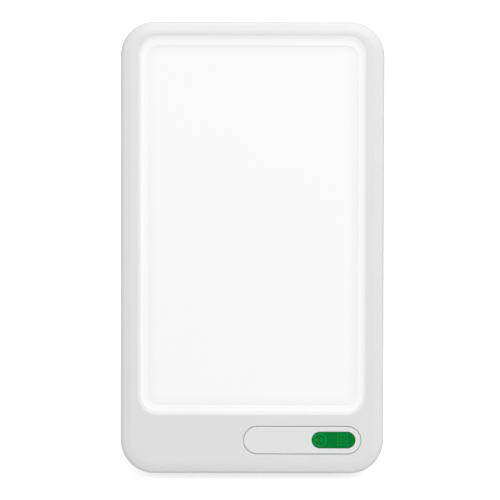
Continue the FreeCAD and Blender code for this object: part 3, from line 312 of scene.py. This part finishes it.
def rim_reach(tree, half_width, half_height, right=0.0, up=0.0):
    """Distance in mm beyond a rectangle about the middle of the light opening, as a socket."""
    any_depth = 100
    point = add_node(tree, "ShaderNodeTexCoord")
    to_panel = panel_place.inverted()
    from_centre = add_node(tree, "ShaderNodeMapping", [
        ("Vector", point.outputs["Object"]), ("Rotation", to_panel.to_euler()),
        ("Scale", to_panel.to_scale()),
        ("Location", to_panel.translation - Vector((right, 0, window_z + up)))])
    outward = add_node(tree, "ShaderNodeVectorMath", [
        (0, from_centre.outputs["Vector"])], operation="ABSOLUTE")
    past_corner = add_node(tree, "ShaderNodeVectorMath", [
        (0, outward.outputs["Vector"]), (1, (half_width, any_depth, half_height))],
        operation="SUBTRACT")
    beyond = add_node(tree, "ShaderNodeVectorMath", [
        (0, past_corner.outputs["Vector"]), (1, (0, 0, 0))], operation="MAXIMUM")
    return add_node(tree, "ShaderNodeVectorMath", [
        (0, beyond.outputs["Vector"])], operation="LENGTH").outputs["Value"]


# The same ABS on the bezel with a painted glow on its thin lip: over 3.3 mm around the light
# opening its colour darkens and an emission brightens it softly, as painted light. As the lip
# glows, it answers less to the room.
# The painted glow's middle sits 0.4 mm right of and 0.55 mm above the opening's, so the painted
# light is stronger on the lip's top and right.
painted_glow_right, painted_glow_up = 0.4, 0.55
painted_glow_outside, painted_glow_inside = 2.9, 0.4
painted_lip_glow = 0.61
lip_abs_painted_glow = white_abs.copy()
lip_abs_painted_glow.name = "ABS moulded satin white with painted lip glow"
lip_tree = lip_abs_painted_glow.node_tree
reach = rim_reach(lip_tree, window_width / 2 - window_radius,
                  window_height / 2 - window_radius, painted_glow_right, painted_glow_up)
painted_glow_share = add_node(lip_tree, "ShaderNodeMapRange", [
    ("Value", reach), ("From Min", window_radius + painted_glow_outside),
    ("From Max", window_radius - painted_glow_inside)], interpolation_type="SMOOTHSTEP")
# Painted glow: towards the lip the base colour darkens and a white emission comes on.
for socket, away, at_lip in (("Base Color", abs_white, "#909090"),
                             ("Emission Color", "#000000", "#FFFFFF")):
    blend = add_node(lip_tree, "ShaderNodeMix", [
        ("Factor", painted_glow_share.outputs["Result"]), ("A", linear(away)), ("B", linear(at_lip))],
        data_type="RGBA")
    lip_tree.links.new(blend.outputs["Result"], shader_of(lip_abs_painted_glow).inputs[socket])
shader_of(lip_abs_painted_glow).inputs["Emission Strength"].default_value = painted_lip_glow

slope_angle = math.atan2(crown_drop, crown_run)
slope_normal = (math.sin(slope_angle), math.cos(slope_angle))
edge_centre_depth = edge_radius / slope_normal[1] + crown_drop * (1 - edge_radius / crown_run)
edge_steps, crown_steps, lip_steps = 9, 4, 6
rings = [panel_ring(parting_bevel, bezel_depth), panel_ring(0, bezel_depth - parting_bevel)]
for step in range(edge_steps + 1):
    turn = math.pi + (math.pi / 2 - slope_angle) * step / edge_steps
    rings.append(panel_ring(edge_radius + edge_radius * math.cos(turn),
                            edge_centre_depth + edge_radius * math.sin(turn)))
blend_end = crown_run + crown_blend * math.tan(slope_angle / 2)
for step in range(crown_steps + 1):
    turn = slope_angle * (1 - step / crown_steps)
    rings.append(panel_ring(blend_end - crown_blend * math.sin(turn),
                            crown_blend * (1 - math.cos(turn))))
lip_angle = math.atan2(lip_drop, lip_run)
lip_start = lip_run + lip_blend * math.tan(lip_angle / 2)
for step in range(lip_steps + 1):
    turn = lip_angle * step / lip_steps
    rings.append(window_ring(lip_start - lip_blend * math.sin(turn),
                             lip_blend * (1 - math.cos(turn))))
rings += [
    window_ring(lip_break, lip_drop - lip_break_rise), window_ring(0, lip_drop + lip_break),
    window_ring(0, face_wall), window_ring(rim_inner, face_wall), window_ring(rim_inner, rim_back),
    window_ring(rim_outer, rim_back), window_ring(rim_outer, face_wall),
    panel_ring(shell_wall, face_wall), panel_ring(shell_wall, lap_front),
    panel_ring(lap_wall, lap_front), panel_ring(lap_wall, bezel_depth),
]
bezel = loft("bezel_shell", rings, close=True)

# Cutters and bosses reach past the wall that they go into, so that no two faces lie in one plane.
sunk, past, above_face = 0.5, 1.0, 0.05
combine(bezel, rods("boss", screw_places, boss_radius, face_wall - sunk, bezel_depth), "UNION")
combine(bezel, rods("pilot", screw_places, pilot_radius, pilot_front, bezel_depth + past),
        "DIFFERENCE")
combine(bezel, loft("plate_seat", [
    plate_ring(plate_gap + seat_break, -above_face), plate_ring(plate_gap, seat_break_depth),
    plate_ring(plate_gap, plate_thickness)]), "DIFFERENCE")
combine(bezel, loft("button_opening", [
    cap_ring(button_gap, plate_thickness - sunk), cap_ring(button_gap, face_wall + past)]),
    "DIFFERENCE")
dress(bezel, lip_abs_painted_glow, "lamp", "front_bezel", panel_place)


# ---- Diffuser
# Opal acrylic, cut from sheet and polished, 3 mm thick. Its front is cut back half a millimetre
# inside a plain border. It drops into the rim behind the light opening.
diffuser_front, diffuser_back = face_wall, 5.4
diffuser_lap = 1.5
step_inset = 3.2
step_depth = 0.5
step_radius = 7.0
step_drop = 1.1
step_run, step_round, step_foot, step_ease = 0.25, 0.08, 0.42, 0.06


def step_ring(grow, depth):
    return rounded_ring(window_width - 2 * (step_inset - grow),
                        window_height - 2 * (step_inset - grow), step_radius + grow,
                        window_z - step_drop, depth)


# PMMA with a white filler: milky, with a soft shine and hardly any shading of its own. The light
# behind it fades by a twelfth towards the step and rises again a little in the thicker border.
middle_glow, step_glow, border_glow = 0.492, 0.451, 0.03
border_from, border_to = step_radius - 0.5, step_radius + 0.4
opal = new_material("PMMA opal sheet white", "#B4B4B4", 0.32, ior=1.49)
shader_of(opal).inputs["Specular IOR Level"].default_value = 0.2
shader_of(opal).inputs["Emission Color"].default_value = linear("#FFFFFF")
rim = rim_reach(opal.node_tree, window_width / 2 - step_inset - step_radius,
                window_height / 2 - step_inset - step_radius, up=-step_drop)
back_light = add_node(opal.node_tree, "ShaderNodeMapRange", [
    ("Value", rim), ("From Min", 0.0), ("From Max", step_radius),
    ("To Min", middle_glow), ("To Max", step_glow)], interpolation_type="SMOOTHSTEP")
border_light = add_node(opal.node_tree, "ShaderNodeMapRange", [
    ("Value", rim), ("From Min", border_from), ("From Max", border_to),
    ("To Min", 0.0), ("To Max", border_glow)], interpolation_type="SMOOTHSTEP")
panel_light = add_node(opal.node_tree, "ShaderNodeMath", [
    (0, back_light.outputs["Result"]), (1, border_light.outputs["Result"])], operation="ADD")
opal.node_tree.links.new(panel_light.outputs[0], shader_of(opal).inputs["Emission Strength"])
vary(opal, "Roughness", 0.28, 0.36, 40)

diffuser = loft("diffuser_sheet", [
    window_ring(diffuser_lap, diffuser_back),
    window_ring(diffuser_lap, diffuser_front),
    step_ring(step_run, diffuser_front),
    step_ring(step_round, diffuser_front + step_ease),
    step_ring(-step_run, diffuser_front + step_depth - step_ease),
    step_ring(-step_foot, diffuser_front + step_depth)])
dress(diffuser, opal, "lamp", "diffuser_panel", panel_place, sharp=50)


# ---- Diffusion film
# A thin matt polyester sheet that hides the single LEDs. It is cut to size and lies between the
# diffuser and the reflector frame, which holds it by its edge.

# PET, embossed matt: an even dull white in which nothing is mirrored.
film = new_material("PET film matt", "#F1F1F0", 0.65, ior=1.57)
add_grain(film, 0.25, 0.004)
frame["nodes"]["diffusion_film"].material_slots[0].material = film


# ---- Reflector frame
# White polycarbonate, moulded, with walls that lean in towards the LED board and throw its light
# forward. It is clamped between the film and the board.

# Polycarbonate with a white pigment: bright and chalky, its dullness uneven over 20 mm.
reflector_white = new_material("polycarbonate matt white", "#F3F3F1", 0.6, ior=1.58)
add_grain(reflector_white, 0.4, 0.005)
vary(reflector_white, "Roughness", 0.55, 0.68, 20)
frame["nodes"]["reflector_frame"].material_slots[0].material = reflector_white


# ---- LED board and LEDs
# An aluminium-cored board under white solder mask, with rows of white LEDs. Ribs in the rear
# cover press it against the reflector.

# White solder mask: a half-gloss white with long faint bands where the copper lies under it.
white_mask = new_material("solder mask white on aluminium", "#EEEEEA", 0.35)
vary(white_mask, "Base Color", "#E7E7E2", "#F1F1EE", 7.5, stretch=(1, 1, 0.2))

# Silicone with phosphor: a dull egg yellow that differs a little from one LED to the next.
phosphor = new_material("LED phosphor yellow", "#E9D66B", 0.45, ior=1.45)
vary(phosphor, "Base Color", "#E2CB55", "#F0E08A", 1.2)
frame["nodes"]["led_board"].material_slots[0].material = white_mask
frame["nodes"]["leds"].material_slots[0].material = phosphor


# ---- Control plate
# A long pill of ABS, paler than the bezel and pressed into its seat, with the button's opening at
# its right-hand end and a fine line of shadow all round.
plate_edge = 0.35
plate_steps = 5
opening_break = 0.2
opening_ease = 0.06

# ABS like the bezel's from a finer textured tool: a shade paler and smoother, grain 0.25 mm apart.
plate_abs = new_material("ABS control plate fine satin", "#E5E5E5", 0.36, ior=1.53)
vary(plate_abs, "Roughness", 0.33, 0.4, 20)
add_grain(plate_abs, 0.25, 0.004)

plate_rings = [plate_ring(0, plate_thickness), plate_ring(0, plate_edge)]
for step in range(1, plate_steps + 1):
    turn = math.radians(90) * step / plate_steps
    plate_rings.append(plate_ring(plate_edge * (math.cos(turn) - 1),
                                  plate_edge * (1 - math.sin(turn))))
plate_rings += [
    cap_ring(button_gap + opening_break, 0), cap_ring(button_gap + opening_ease, opening_ease),
    cap_ring(button_gap, opening_break), cap_ring(button_gap, plate_thickness)]
plate = loft("control_plate_pill", plate_rings, close=True)
dress(plate, plate_abs, "lamp", "control_plate", panel_place)


# ---- Push-button
# Green ABS with hardly any sheen. A raised ring frames the signs for on and off, turned on their
# side, and sixteen raised dots give the finger a hold. A flange behind the wall keeps the cap in.
button_proud = 0.3
button_round = 0.5
bead_sunk = 0.05
flange_front, flange_back = 2.7, 3.7
flange_reach = 1.3

# ABS dyed green in a fine textured tool: deep and even, with almost no highlight.
green_abs = new_material("ABS moulded green", "#007930", 0.5, ior=1.53)
shader_of(green_abs).inputs["Specular IOR Level"].default_value = 0.04
vary(green_abs, "Roughness", 0.45, 0.55, 6)
add_grain(green_abs, 0.2, 0.003)

# The raised marks: a paler green than the face between them, as a painted highlight on their low
# relief, and smoother.
marks_green_painted_highlight = new_material("ABS green raised marks painted highlight", "#00933D", 0.35, ior=1.53)
shader_of(marks_green_painted_highlight).inputs["Specular IOR Level"].default_value = 0.08
vary(marks_green_painted_highlight, "Base Color", "#008D39", "#009A42", 3)
add_grain(marks_green_painted_highlight, 0.2, 0.001)

cap_rings = []
cap_steps = 6
for step in range(cap_steps + 1):
    turn = math.radians(90) * step / cap_steps
    cap_rings.append(cap_ring(button_round * (math.sin(turn) - 1),
                              button_round * (1 - math.cos(turn)) - button_proud))
cap_rings += [cap_ring(0, flange_front), cap_ring(flange_reach, flange_front),
              cap_ring(flange_reach, flange_back)]
cap = loft("button_pill", cap_rings)
dress(cap, green_abs, "button", "button_cap", panel_place)


def raised_line(shape, path, half_width, height, closed=False, steps=6):
    """A half-round bead along a path of x and z, sunk a little into the button's face."""
    loops = []
    for here, (x, z) in enumerate(path):
        before = path[here - 1] if here or closed else path[0]
        after = path[(here + 1) % len(path)] if here < len(path) - 1 or closed else path[-1]
        along = Vector((after[0] - before[0], 0, after[1] - before[1])).normalized()
        side = Vector((-along.z, 0, along.x))
        loop = []
        for step in range(steps + 1):
            turn = math.pi * step / steps
            point = Vector((x, 0, z)) + side * half_width * math.cos(turn)
            depth = bead_sunk - button_proud - (height + bead_sunk) * math.sin(turn)
            loop.append(shape.verts.new((point.x, depth, point.z)))
        loops.append(loop)
    skin(shape, loops, closed)


sign_x = button_x - (button_length - button_width) / 2
off_x = sign_x + 1.15
ring_radius, off_radius = 3.7, 0.85
ring_bead, ring_height = 0.36, 0.18
bar_bead, bar_height = 0.42, 0.2
bar_left, bar_step, bar_points = 2.9, 0.3, 9
ring_points = 48
sign = bmesh.new()
for centre, radius in ((sign_x, ring_radius), (off_x, off_radius)):
    turns = [math.tau * step / ring_points for step in range(ring_points)]
    raised_line(sign, [(centre + radius * math.cos(turn), button_z + radius * math.sin(turn))
                       for turn in turns], ring_bead, ring_height, closed=True)
raised_line(sign, [(sign_x - bar_left + bar_step * step, button_z) for step in range(bar_points)],
            bar_bead, bar_height)
bmesh.ops.recalc_face_normals(sign, faces=sign.faces)
button_sign = piece_from("button_sign", sign)
# The sign's beads carry the marks' painted highlight.
dress(button_sign, marks_green_painted_highlight, "button", place=panel_place, sharp=80)


def new_tree(name, inputs):
    """A Geometry Nodes tree with named inputs; returns it with its input and output nodes."""
    tree = bpy.data.node_groups.new(name, "GeometryNodeTree")
    tree.interface.new_socket("Geometry", in_out="INPUT", socket_type="NodeSocketGeometry")
    for label, kind in inputs:
        tree.interface.new_socket(label, in_out="INPUT", socket_type=f"NodeSocket{kind}")
    tree.interface.new_socket("Geometry", in_out="OUTPUT", socket_type="NodeSocketGeometry")
    return tree, tree.nodes.new("NodeGroupInput"), tree.nodes.new("NodeGroupOutput")


def grow_from(name, points, tree, values):
    """Runs a tree on a few points and keeps the result as a plain mesh."""
    data = bpy.data.meshes.new(name)
    data.from_pydata(points, [], [])
    piece = add_piece(name, data)
    modifier = piece.modifiers.new(name, "NODES")
    modifier.node_group = tree
    for socket in tree.interface.items_tree:
        if socket.in_out == "INPUT" and socket.name in values:
            modifier[socket.identifier] = values[socket.name]
    freeze(piece)
    return piece


def figured(tree, operation, first, second):
    """What two numbers or sockets come to, as a socket."""
    return add_node(tree, "ShaderNodeMath", [(0, first), (1, second)],
                    operation=operation).outputs[0]


def end_tree(tree, instances, given, result):
    """Makes instances real, gives them their material and hands them out."""
    real = add_node(tree, "GeometryNodeRealizeInstances", [
        ("Geometry", instances.outputs["Instances"])])
    coated = add_node(tree, "GeometryNodeSetMaterial", [
        ("Geometry", real.outputs["Geometry"]), ("Material", given.outputs["Material"])])
    tree.links.new(coated.outputs["Geometry"], result.inputs["Geometry"])


# Rows of flattened domes, half sunk into the face that they stand on.
dot_tree, given, result = new_tree("raised_dots", [
    ("Columns", "Int"), ("Rows", "Int"), ("Spacing", "Float"), ("Radius", "Float"),
    ("Height", "Float"), ("Material", "Material")])
across, upward = [figured(dot_tree, "MULTIPLY",
                          figured(dot_tree, "SUBTRACT", given.outputs[count], 1.0),
                          given.outputs["Spacing"]) for count in ("Columns", "Rows")]
grid = add_node(dot_tree, "GeometryNodeMeshGrid", [
    ("Vertices X", given.outputs["Columns"]), ("Vertices Y", given.outputs["Rows"]),
    ("Size X", across), ("Size Y", upward)])
ball = add_node(dot_tree, "GeometryNodeMeshUVSphere", [
    ("Segments", 16), ("Rings", 8), ("Radius", 1.0)])
dome_size = add_node(dot_tree, "ShaderNodeCombineXYZ", [
    ("X", given.outputs["Radius"]), ("Y", given.outputs["Radius"]),
    ("Z", given.outputs["Height"])])
domes = add_node(dot_tree, "GeometryNodeInstanceOnPoints", [
    ("Points", grid.outputs["Mesh"]), ("Instance", ball.outputs["Mesh"]),
    ("Scale", dome_size.outputs["Vector"])])
end_tree(dot_tree, domes, given, result)

# Turns what is drawn flat, with its top upward, to face out of the front or of the back.
face_front = Matrix(((1, 0, 0, 0), (0, 0, -1, 0), (0, 1, 0, 0), (0, 0, 0, 1)))
face_back = Matrix(((-1, 0, 0, 0), (0, 0, 1, 0), (0, 1, 0, 0), (0, 0, 0, 1)))
# The dots carry the marks' painted highlight too.
dots = grow_from("button_dots", [(0, 0, 0)], dot_tree, {
    "Columns": 4, "Rows": 4, "Spacing": 1.86, "Radius": 0.6, "Height": 0.26,
    "Material": marks_green_painted_highlight})
dots_right = 5.4
dots_centre = Matrix.Translation((button_x + dots_right, -button_proud, button_z))
dress(dots, marks_green_painted_highlight, "button", place=panel_place @ dots_centre @ face_front, sharp=80)

# The switch's plunger moves with the cap. POM, turned: slippery and slightly waxy.
pom = new_material("POM natural", "#E5E1D6", 0.33, ior=1.48)
add_grain(pom, 0.5, 0.004)
frame["nodes"]["switch_plunger"].material_slots[0].material = pom


# ---- Driver board and what it carries
# Green FR4 with the switch, the power inlet, the driver chip, an inductor, two capacitors and the
# connectors for the leads to the LED board. Two screws hold it on posts in the rear cover.

# Green solder mask: glassy, with bands of two greens where the copper lies under it.
green_mask = new_material("solder mask green on FR4", "#1E5A34", 0.32, ior=1.52)
vary(green_mask, "Base Color", "#174D2B", "#2A6D42", 2.5, stretch=(0.3, 1, 1))

# PBT with glass fibre, moulded: a greyish black with a fine dry grain.
black_pbt = new_material("PBT moulded black", "#1B1B1C", 0.45, ior=1.55)
add_grain(black_pbt, 0.15, 0.004)

# Epoxy with a mineral filler, moulded: a flat black, rough like fine slate.
chip_epoxy = new_material("epoxy moulded chip black", "#222223", 0.6, ior=1.55)
add_grain(chip_epoxy, 0.08, 0.005)

# Ferrite, pressed and sintered: a dark grey with a stony glint.
ferrite = new_material("ferrite sintered", "#35353A", 0.55, ior=1.9)
add_grain(ferrite, 0.12, 0.008)

# Aluminium, drawn: bright and grey, with faint lines round the can.
can_aluminium = new_material("aluminium can drawn", "#C4C6C8", 0.3, metallic=1.0)
add_grain(can_aluminium, 0.3, 0.004, stretch=(1, 0.2, 1))

# Nylon, moulded without dye: cream, with a soft half-gloss.
nylon = new_material("nylon natural moulded", "#E8E2CF", 0.5, ior=1.53)
add_grain(nylon, 0.3, 0.004)

# PVC insulation, extruded: a soft shine that comes and goes along the lead.
red_pvc = new_material("PVC insulation red", "#B3201E", 0.45, ior=1.53)
vary(red_pvc, "Roughness", 0.38, 0.52, 3)
black_pvc = new_material("PVC insulation black", "#1A1A1B", 0.45, ior=1.53)
vary(black_pvc, "Roughness", 0.38, 0.52, 3)
for node, material in [
        ("driver_board", green_mask), ("switch_body", black_pbt), ("driver_chip", chip_epoxy),
        ("power_inductor", ferrite), ("electrolytic_capacitors", can_aluminium),
        ("board_connector", nylon), ("led_connector", nylon), ("led_lead_red", red_pvc),
        ("led_lead_black", black_pvc)]:
    frame["nodes"][node].material_slots[0].material = material


# ---- Power inlet
# A barrel jack in black PBT on the driver board. Its round nose shows in the back, with a
# nickel-plated centre pin inside.
def rounded_copy(name, node, edge, segments=2):
    """A node's own shape, merged, with its sharp edges rounded by an edge radius in millimetres."""
    same_place, same_plane, sharp_edge = 1e-6, math.radians(0.5), math.radians(35)
    shape = bmesh.new()
    shape.from_mesh(frame["nodes"][node].data)
    bmesh.ops.remove_doubles(shape, verts=shape.verts, dist=same_place)
    bmesh.ops.dissolve_limit(shape, angle_limit=same_plane, verts=shape.verts, edges=shape.edges)
    piece = piece_from(name, shape)
    rounding = piece.modifiers.new("rounding", "BEVEL")
    rounding.width = edge * mm
    rounding.segments = segments
    rounding.limit_method = "ANGLE"
    rounding.angle_limit = sharp_edge
    freeze(piece)
    return piece


# Nickel over brass: a warm bright metal whose shine is broken in small clouds.
nickel = new_material("nickel plated brass", "#CFC9BC", 0.22, metallic=1.0)
vary(nickel, "Roughness", 0.18, 0.28, 1.5)
inlet = rounded_copy("inlet_nose", "power_inlet", 0.15)
dress(inlet, black_pbt, "lamp", "power_inlet")
inlet_pin = rounded_copy("inlet_centre_pin", "power_inlet_pin", 0.25)
dress(inlet_pin, nickel, "lamp", "power_inlet_pin")


# ---- Rear cover
# Moulded ABS with a rounded edge, a row of vents and a recess that takes the folded leg, with a
# finger scoop at each side. Its tongue goes into the bezel's rebate, and it has the bezel's white.
cover = rounded_copy("cover_shell", "rear_cover", 0.25)
dress(cover, white_abs, "lamp", "rear_cover")


# ---- Screws
# Zinc-plated pan heads with a cross recess. Four close the case from behind, and two hold the
# driver board.

# Zinc on steel: a grey metal with a cloudy shine, its clouds a millimetre across.
zinc = new_material("steel zinc plated", "#B9BBBE", 0.34, metallic=1.0)
vary(zinc, "Roughness", 0.28, 0.42, 1.0)

# One screw, standing on its seat with its head upward, is put on every point that comes in.
shank_share = 0.3
slot_long, slot_wide = 1.1, 0.26
slot_deep, slot_deeper = 1.0, 1.1
screw_tree, given, result = new_tree("cross_recess_screws", [
    ("Head Radius", "Float"), ("Head Height", "Float"), ("Edge", "Float"),
    ("Shank Radius", "Float"), ("Shank Length", "Float"), ("Material", "Material")])
head_radius, head_height, head_edge, shank_radius, shank_length = [
    given.outputs[name] for name in (
        "Head Radius", "Head Height", "Edge", "Shank Radius", "Shank Length")]


def screw_sum(operation, first, second):
    return figured(screw_tree, operation, first, second)


def raised(mesh_socket, height_socket):
    """The mesh moved up by a height."""
    offset = add_node(screw_tree, "ShaderNodeCombineXYZ", [("Z", height_socket)])
    return add_node(screw_tree, "GeometryNodeTransform", [
        ("Geometry", mesh_socket), ("Translation", offset.outputs["Vector"])]).outputs["Geometry"]


# The head is a cylinder in six layers, drawn in towards its top above its upright side.
blank = add_node(screw_tree, "GeometryNodeMeshCylinder", [
    ("Vertices", 32), ("Side Segments", 6), ("Radius", head_radius), ("Depth", head_height)])
spot = add_node(screw_tree, "GeometryNodeInputPosition")
height = add_node(screw_tree, "ShaderNodeSeparateXYZ", [("Vector", spot.outputs["Position"])])
drawn_in = add_node(screw_tree, "ShaderNodeMapRange", [
    ("Value", height.outputs["Z"]), ("From Min", screw_sum("SUBTRACT", head_height, head_edge)),
    ("From Max", head_height), ("To Min", 1.0),
    ("To Max", screw_sum("SUBTRACT", 1.0, screw_sum("DIVIDE", head_edge, head_radius)))])
narrower = add_node(screw_tree, "ShaderNodeCombineXYZ", [
    ("X", drawn_in.outputs["Result"]), ("Y", drawn_in.outputs["Result"]), ("Z", 1.0)])
crowned = add_node(screw_tree, "ShaderNodeVectorMath", [
    (0, spot.outputs["Position"]), (1, narrower.outputs["Vector"])], operation="MULTIPLY")
head = add_node(screw_tree, "GeometryNodeSetPosition", [
    ("Geometry", raised(blank.outputs["Mesh"], screw_sum("DIVIDE", head_height, 2.0))),
    ("Position", crowned.outputs["Vector"])])

# The shank reaches a share of the head's height into the head and becomes one solid with it.
shank_top = screw_sum("MULTIPLY", head_height, shank_share)
shank = add_node(screw_tree, "GeometryNodeMeshCylinder", [
    ("Vertices", 24), ("Radius", shank_radius),
    ("Depth", screw_sum("ADD", shank_length, shank_top))])
shank_centre = screw_sum("DIVIDE", screw_sum("SUBTRACT", shank_top, shank_length), 2.0)
solid_screw = add_node(screw_tree, "GeometryNodeMeshBoolean", operation="UNION")
for part in (head.outputs["Geometry"], raised(shank.outputs["Mesh"], shank_centre)):
    screw_tree.links.new(part, solid_screw.inputs[1])

# Two crossing bars cut the recess, one a little deeper, so that their floors aren't in one plane.
recessed = add_node(screw_tree, "GeometryNodeMeshBoolean", [
    (0, solid_screw.outputs["Mesh"])], operation="DIFFERENCE")
slot_length = screw_sum("MULTIPLY", head_radius, slot_long)
slot_width = screw_sum("MULTIPLY", head_radius, slot_wide)
for across, along, depth in ((slot_length, slot_width, slot_deep),
                             (slot_width, slot_length, slot_deeper)):
    bar = add_node(screw_tree, "ShaderNodeCombineXYZ", [
        ("X", across), ("Y", along), ("Z", screw_sum("MULTIPLY", head_height, depth))])
    box = add_node(screw_tree, "GeometryNodeMeshCube", [("Size", bar.outputs["Vector"])])
    screw_tree.links.new(raised(box.outputs["Mesh"], head_height), recessed.inputs[1])
screws_placed = add_node(screw_tree, "GeometryNodeInstanceOnPoints", [
    ("Points", given.outputs["Geometry"]), ("Instance", recessed.outputs["Mesh"])])
end_tree(screw_tree, screws_placed, given, result)

case_seat = 15.0
case_screws = grow_from("case_screw_set", [(-x, z, 0) for x, z in screw_places], screw_tree, {
    "Head Radius": 2.3, "Head Height": 1.7, "Edge": 0.5, "Shank Radius": 1.3,
    "Shank Length": 10.0, "Material": zinc})
dress(case_screws, zinc, "lamp", "case_screws",
      panel_place @ Matrix.Translation((0, case_seat, 0)) @ face_back)
board_front = 9.4
board_screw_x, board_screw_z = 56, 10
board_screws = grow_from("board_screw_set", [
    (side * board_screw_x, board_screw_z, 0) for side in (-1, 1)], screw_tree, {
        "Head Radius": 2.0, "Head Height": 1.2, "Edge": 0.4, "Shank Radius": 1.1,
        "Shank Length": 5.0, "Material": zinc})
dress(board_screws, zinc, "lamp", "driver_board_screws",
      panel_place @ Matrix.Translation((0, board_front, 0)) @ face_front)


# ---- Foot strip
# A strip of grey TPE, glued into a groove under the round rear edge. It carries the front of the
# lamp and keeps it from sliding.

# TPE: dull, faintly mottled over 4 mm and finely pitted, so that it looks soft beside the ABS.
foot_rubber = new_material("TPE rubber pale grey", "#C9CACB", 0.75)
add_grain(foot_rubber, 0.3, 0.015)
vary(foot_rubber, "Base Color", "#C2C3C4", "#CFD0D1", 4)
strip = rounded_copy("foot_strip_rubber", "foot_strip", 0.3, segments=3)
dress(strip, foot_rubber, "lamp", "foot_strip")


# ---- Hinge pin
# A ground steel pin across the recess, pressed into the cover at both ends. The leg's barrel turns
# on it.

# Steel, ground: dark and bright, with fine lines along the pin.
pin_steel = new_material("steel ground", "#A9ABAE", 0.25, metallic=1.0)
add_grain(pin_steel, 0.15, 0.002, stretch=(1, 0.1, 0.1))
frame["nodes"]["hinge_pin"].material_slots[0].material = pin_steel


# ---- Stand leg
# A flat ABS leg with a solid outer skin and pockets inside, in the case's white. Its heel comes up
# to the recess floor when it is open, and a rubber pad under its end stands on the desk.
leg = rounded_copy("leg_plate", "stand_leg", 0.3)
dress(leg, white_abs, "stand", "stand_leg")
pad = rounded_copy("leg_pad_rubber", "stand_foot_pad", 0.15)
dress(pad, foot_rubber, "stand", "stand_foot_pad")


# ---- Desk, light and camera
# A plain white desk top and background, six large soft lamps, and a camera that faces the panel
# from a little above square.
def shown_directly(tree):
    """1 where the camera or a reflection looks at the surface, 0 where it only lights others."""
    ray = add_node(tree, "ShaderNodeLightPath")
    return add_node(tree, "ShaderNodeMath", [
        (0, ray.outputs["Is Camera Ray"]), (1, ray.outputs["Is Glossy Ray"])],
        operation="MAXIMUM").outputs[0]


# Painted board, matt: white to the camera, grey in the light that it sends back to the lamp.
desk_glow = 0.7
desk_half = 6.0
desk_material = new_material("desk top white matt", "#C8C8C8", 0.8)
desk_tree = desk_material.node_tree
shader_of(desk_material).inputs["Emission Color"].default_value = linear("#FFFFFF")
desk_tree.links.new(figured(desk_tree, "MULTIPLY", shown_directly(desk_tree), desk_glow),
                    shader_of(desk_material).inputs["Emission Strength"])
desk_data = bpy.data.meshes.new("desk_top")
desk_data.from_pydata([(-desk_half, -desk_half, 0), (desk_half, -desk_half, 0),
                       (desk_half, desk_half, 0), (-desk_half, desk_half, 0)], [], [(0, 1, 2, 3)])
desk = add_piece("desk_top", desk_data)
desk_data.materials.append(desk_material)

# The room is white to the camera too, and lights the lamp with a good third of that.
room_light, room_white = 0.38, 1.0
room = bpy.data.worlds.new("white studio")
room.use_nodes = True
bpy.context.scene.world = room
room_tree = room.node_tree
background = room_tree.nodes["Background"]
white_level = add_node(room_tree, "ShaderNodeMapRange", [
    ("Value", shown_directly(room_tree)), ("To Min", room_light), ("To Max", room_white)])
background.inputs["Color"].default_value = (1, 1, 1, 1)
room_tree.links.new(white_level.outputs["Result"], background.inputs["Strength"])

# The camera aims at a point of the panel's front near its middle, and so do the lamps.
face_out = (panel_place.to_3x3() @ Vector((0, -1, 0))).normalized()
face_up = (panel_place.to_3x3() @ Vector((0, 0, 1))).normalized()
to_right = Vector((1, 0, 0))
aim = panel_place @ Vector((-1.39, 0, 133.09))

# Each lamp's way out of the panel's face, up along it and to the right, its width and height, all
# in metres, and its power in watts.
for name, out, up, right, width, height, power in [
        ("key_lamp", 1.4, 1.2, 0.4, 1.4, 1.4, 9.5),
        ("strip_lamp", 2.4, 0.95, 0.3, 1.6, 0.35, 14),
        ("top_lamp", 0.7, 1.8, 0.1, 1.6, 0.8, 10),
        ("back_lamp", -1.6, 0.6, 0.5, 1.4, 1.4, 11),
        ("left_lamp", -0.1, 0.0, -1.6, 0.8, 1.0, 2.5),
        ("fill_lamp", 1.1, -0.3, 1.2, 1.4, 1.4, 5)]:
    lamp = bpy.data.lights.new(name, "AREA")
    lamp.shape = "RECTANGLE"
    lamp.size = width
    lamp.size_y = height
    lamp.energy = power
    lamp_object = bpy.data.objects.new(name, lamp)
    lamp_object.location = aim + face_out * out + face_up * up + to_right * right
    lamp_object.rotation_mode = "QUATERNION"
    lamp_object.rotation_quaternion = (aim - lamp_object.location).to_track_quat("-Z", "Y")
    bpy.context.scene.collection.objects.link(lamp_object)

camera_distance = 2.5
frame_width = 0.2960
sensor_width = 36.0
view_rise = math.radians(3.2)
view_roll = math.radians(0.12)
camera_data = bpy.data.cameras.new("camera")
camera_data.sensor_width = sensor_width
camera_data.lens = sensor_width * camera_distance / frame_width
camera_data.clip_start = 0.1
camera_data.clip_end = 50.0
camera = bpy.data.objects.new("camera", camera_data)
view_out = face_out * math.cos(view_rise) + face_up * math.sin(view_rise)
camera.location = aim + view_out * camera_distance
camera.rotation_mode = "QUATERNION"
camera.rotation_quaternion = (-view_out).to_track_quat("-Z", "Y") @ Quaternion(
    (0, 0, 1), view_roll)
bpy.context.scene.collection.objects.link(camera)
bpy.context.scene.camera = camera
bpy.context.scene.view_settings.view_transform = "Standard"
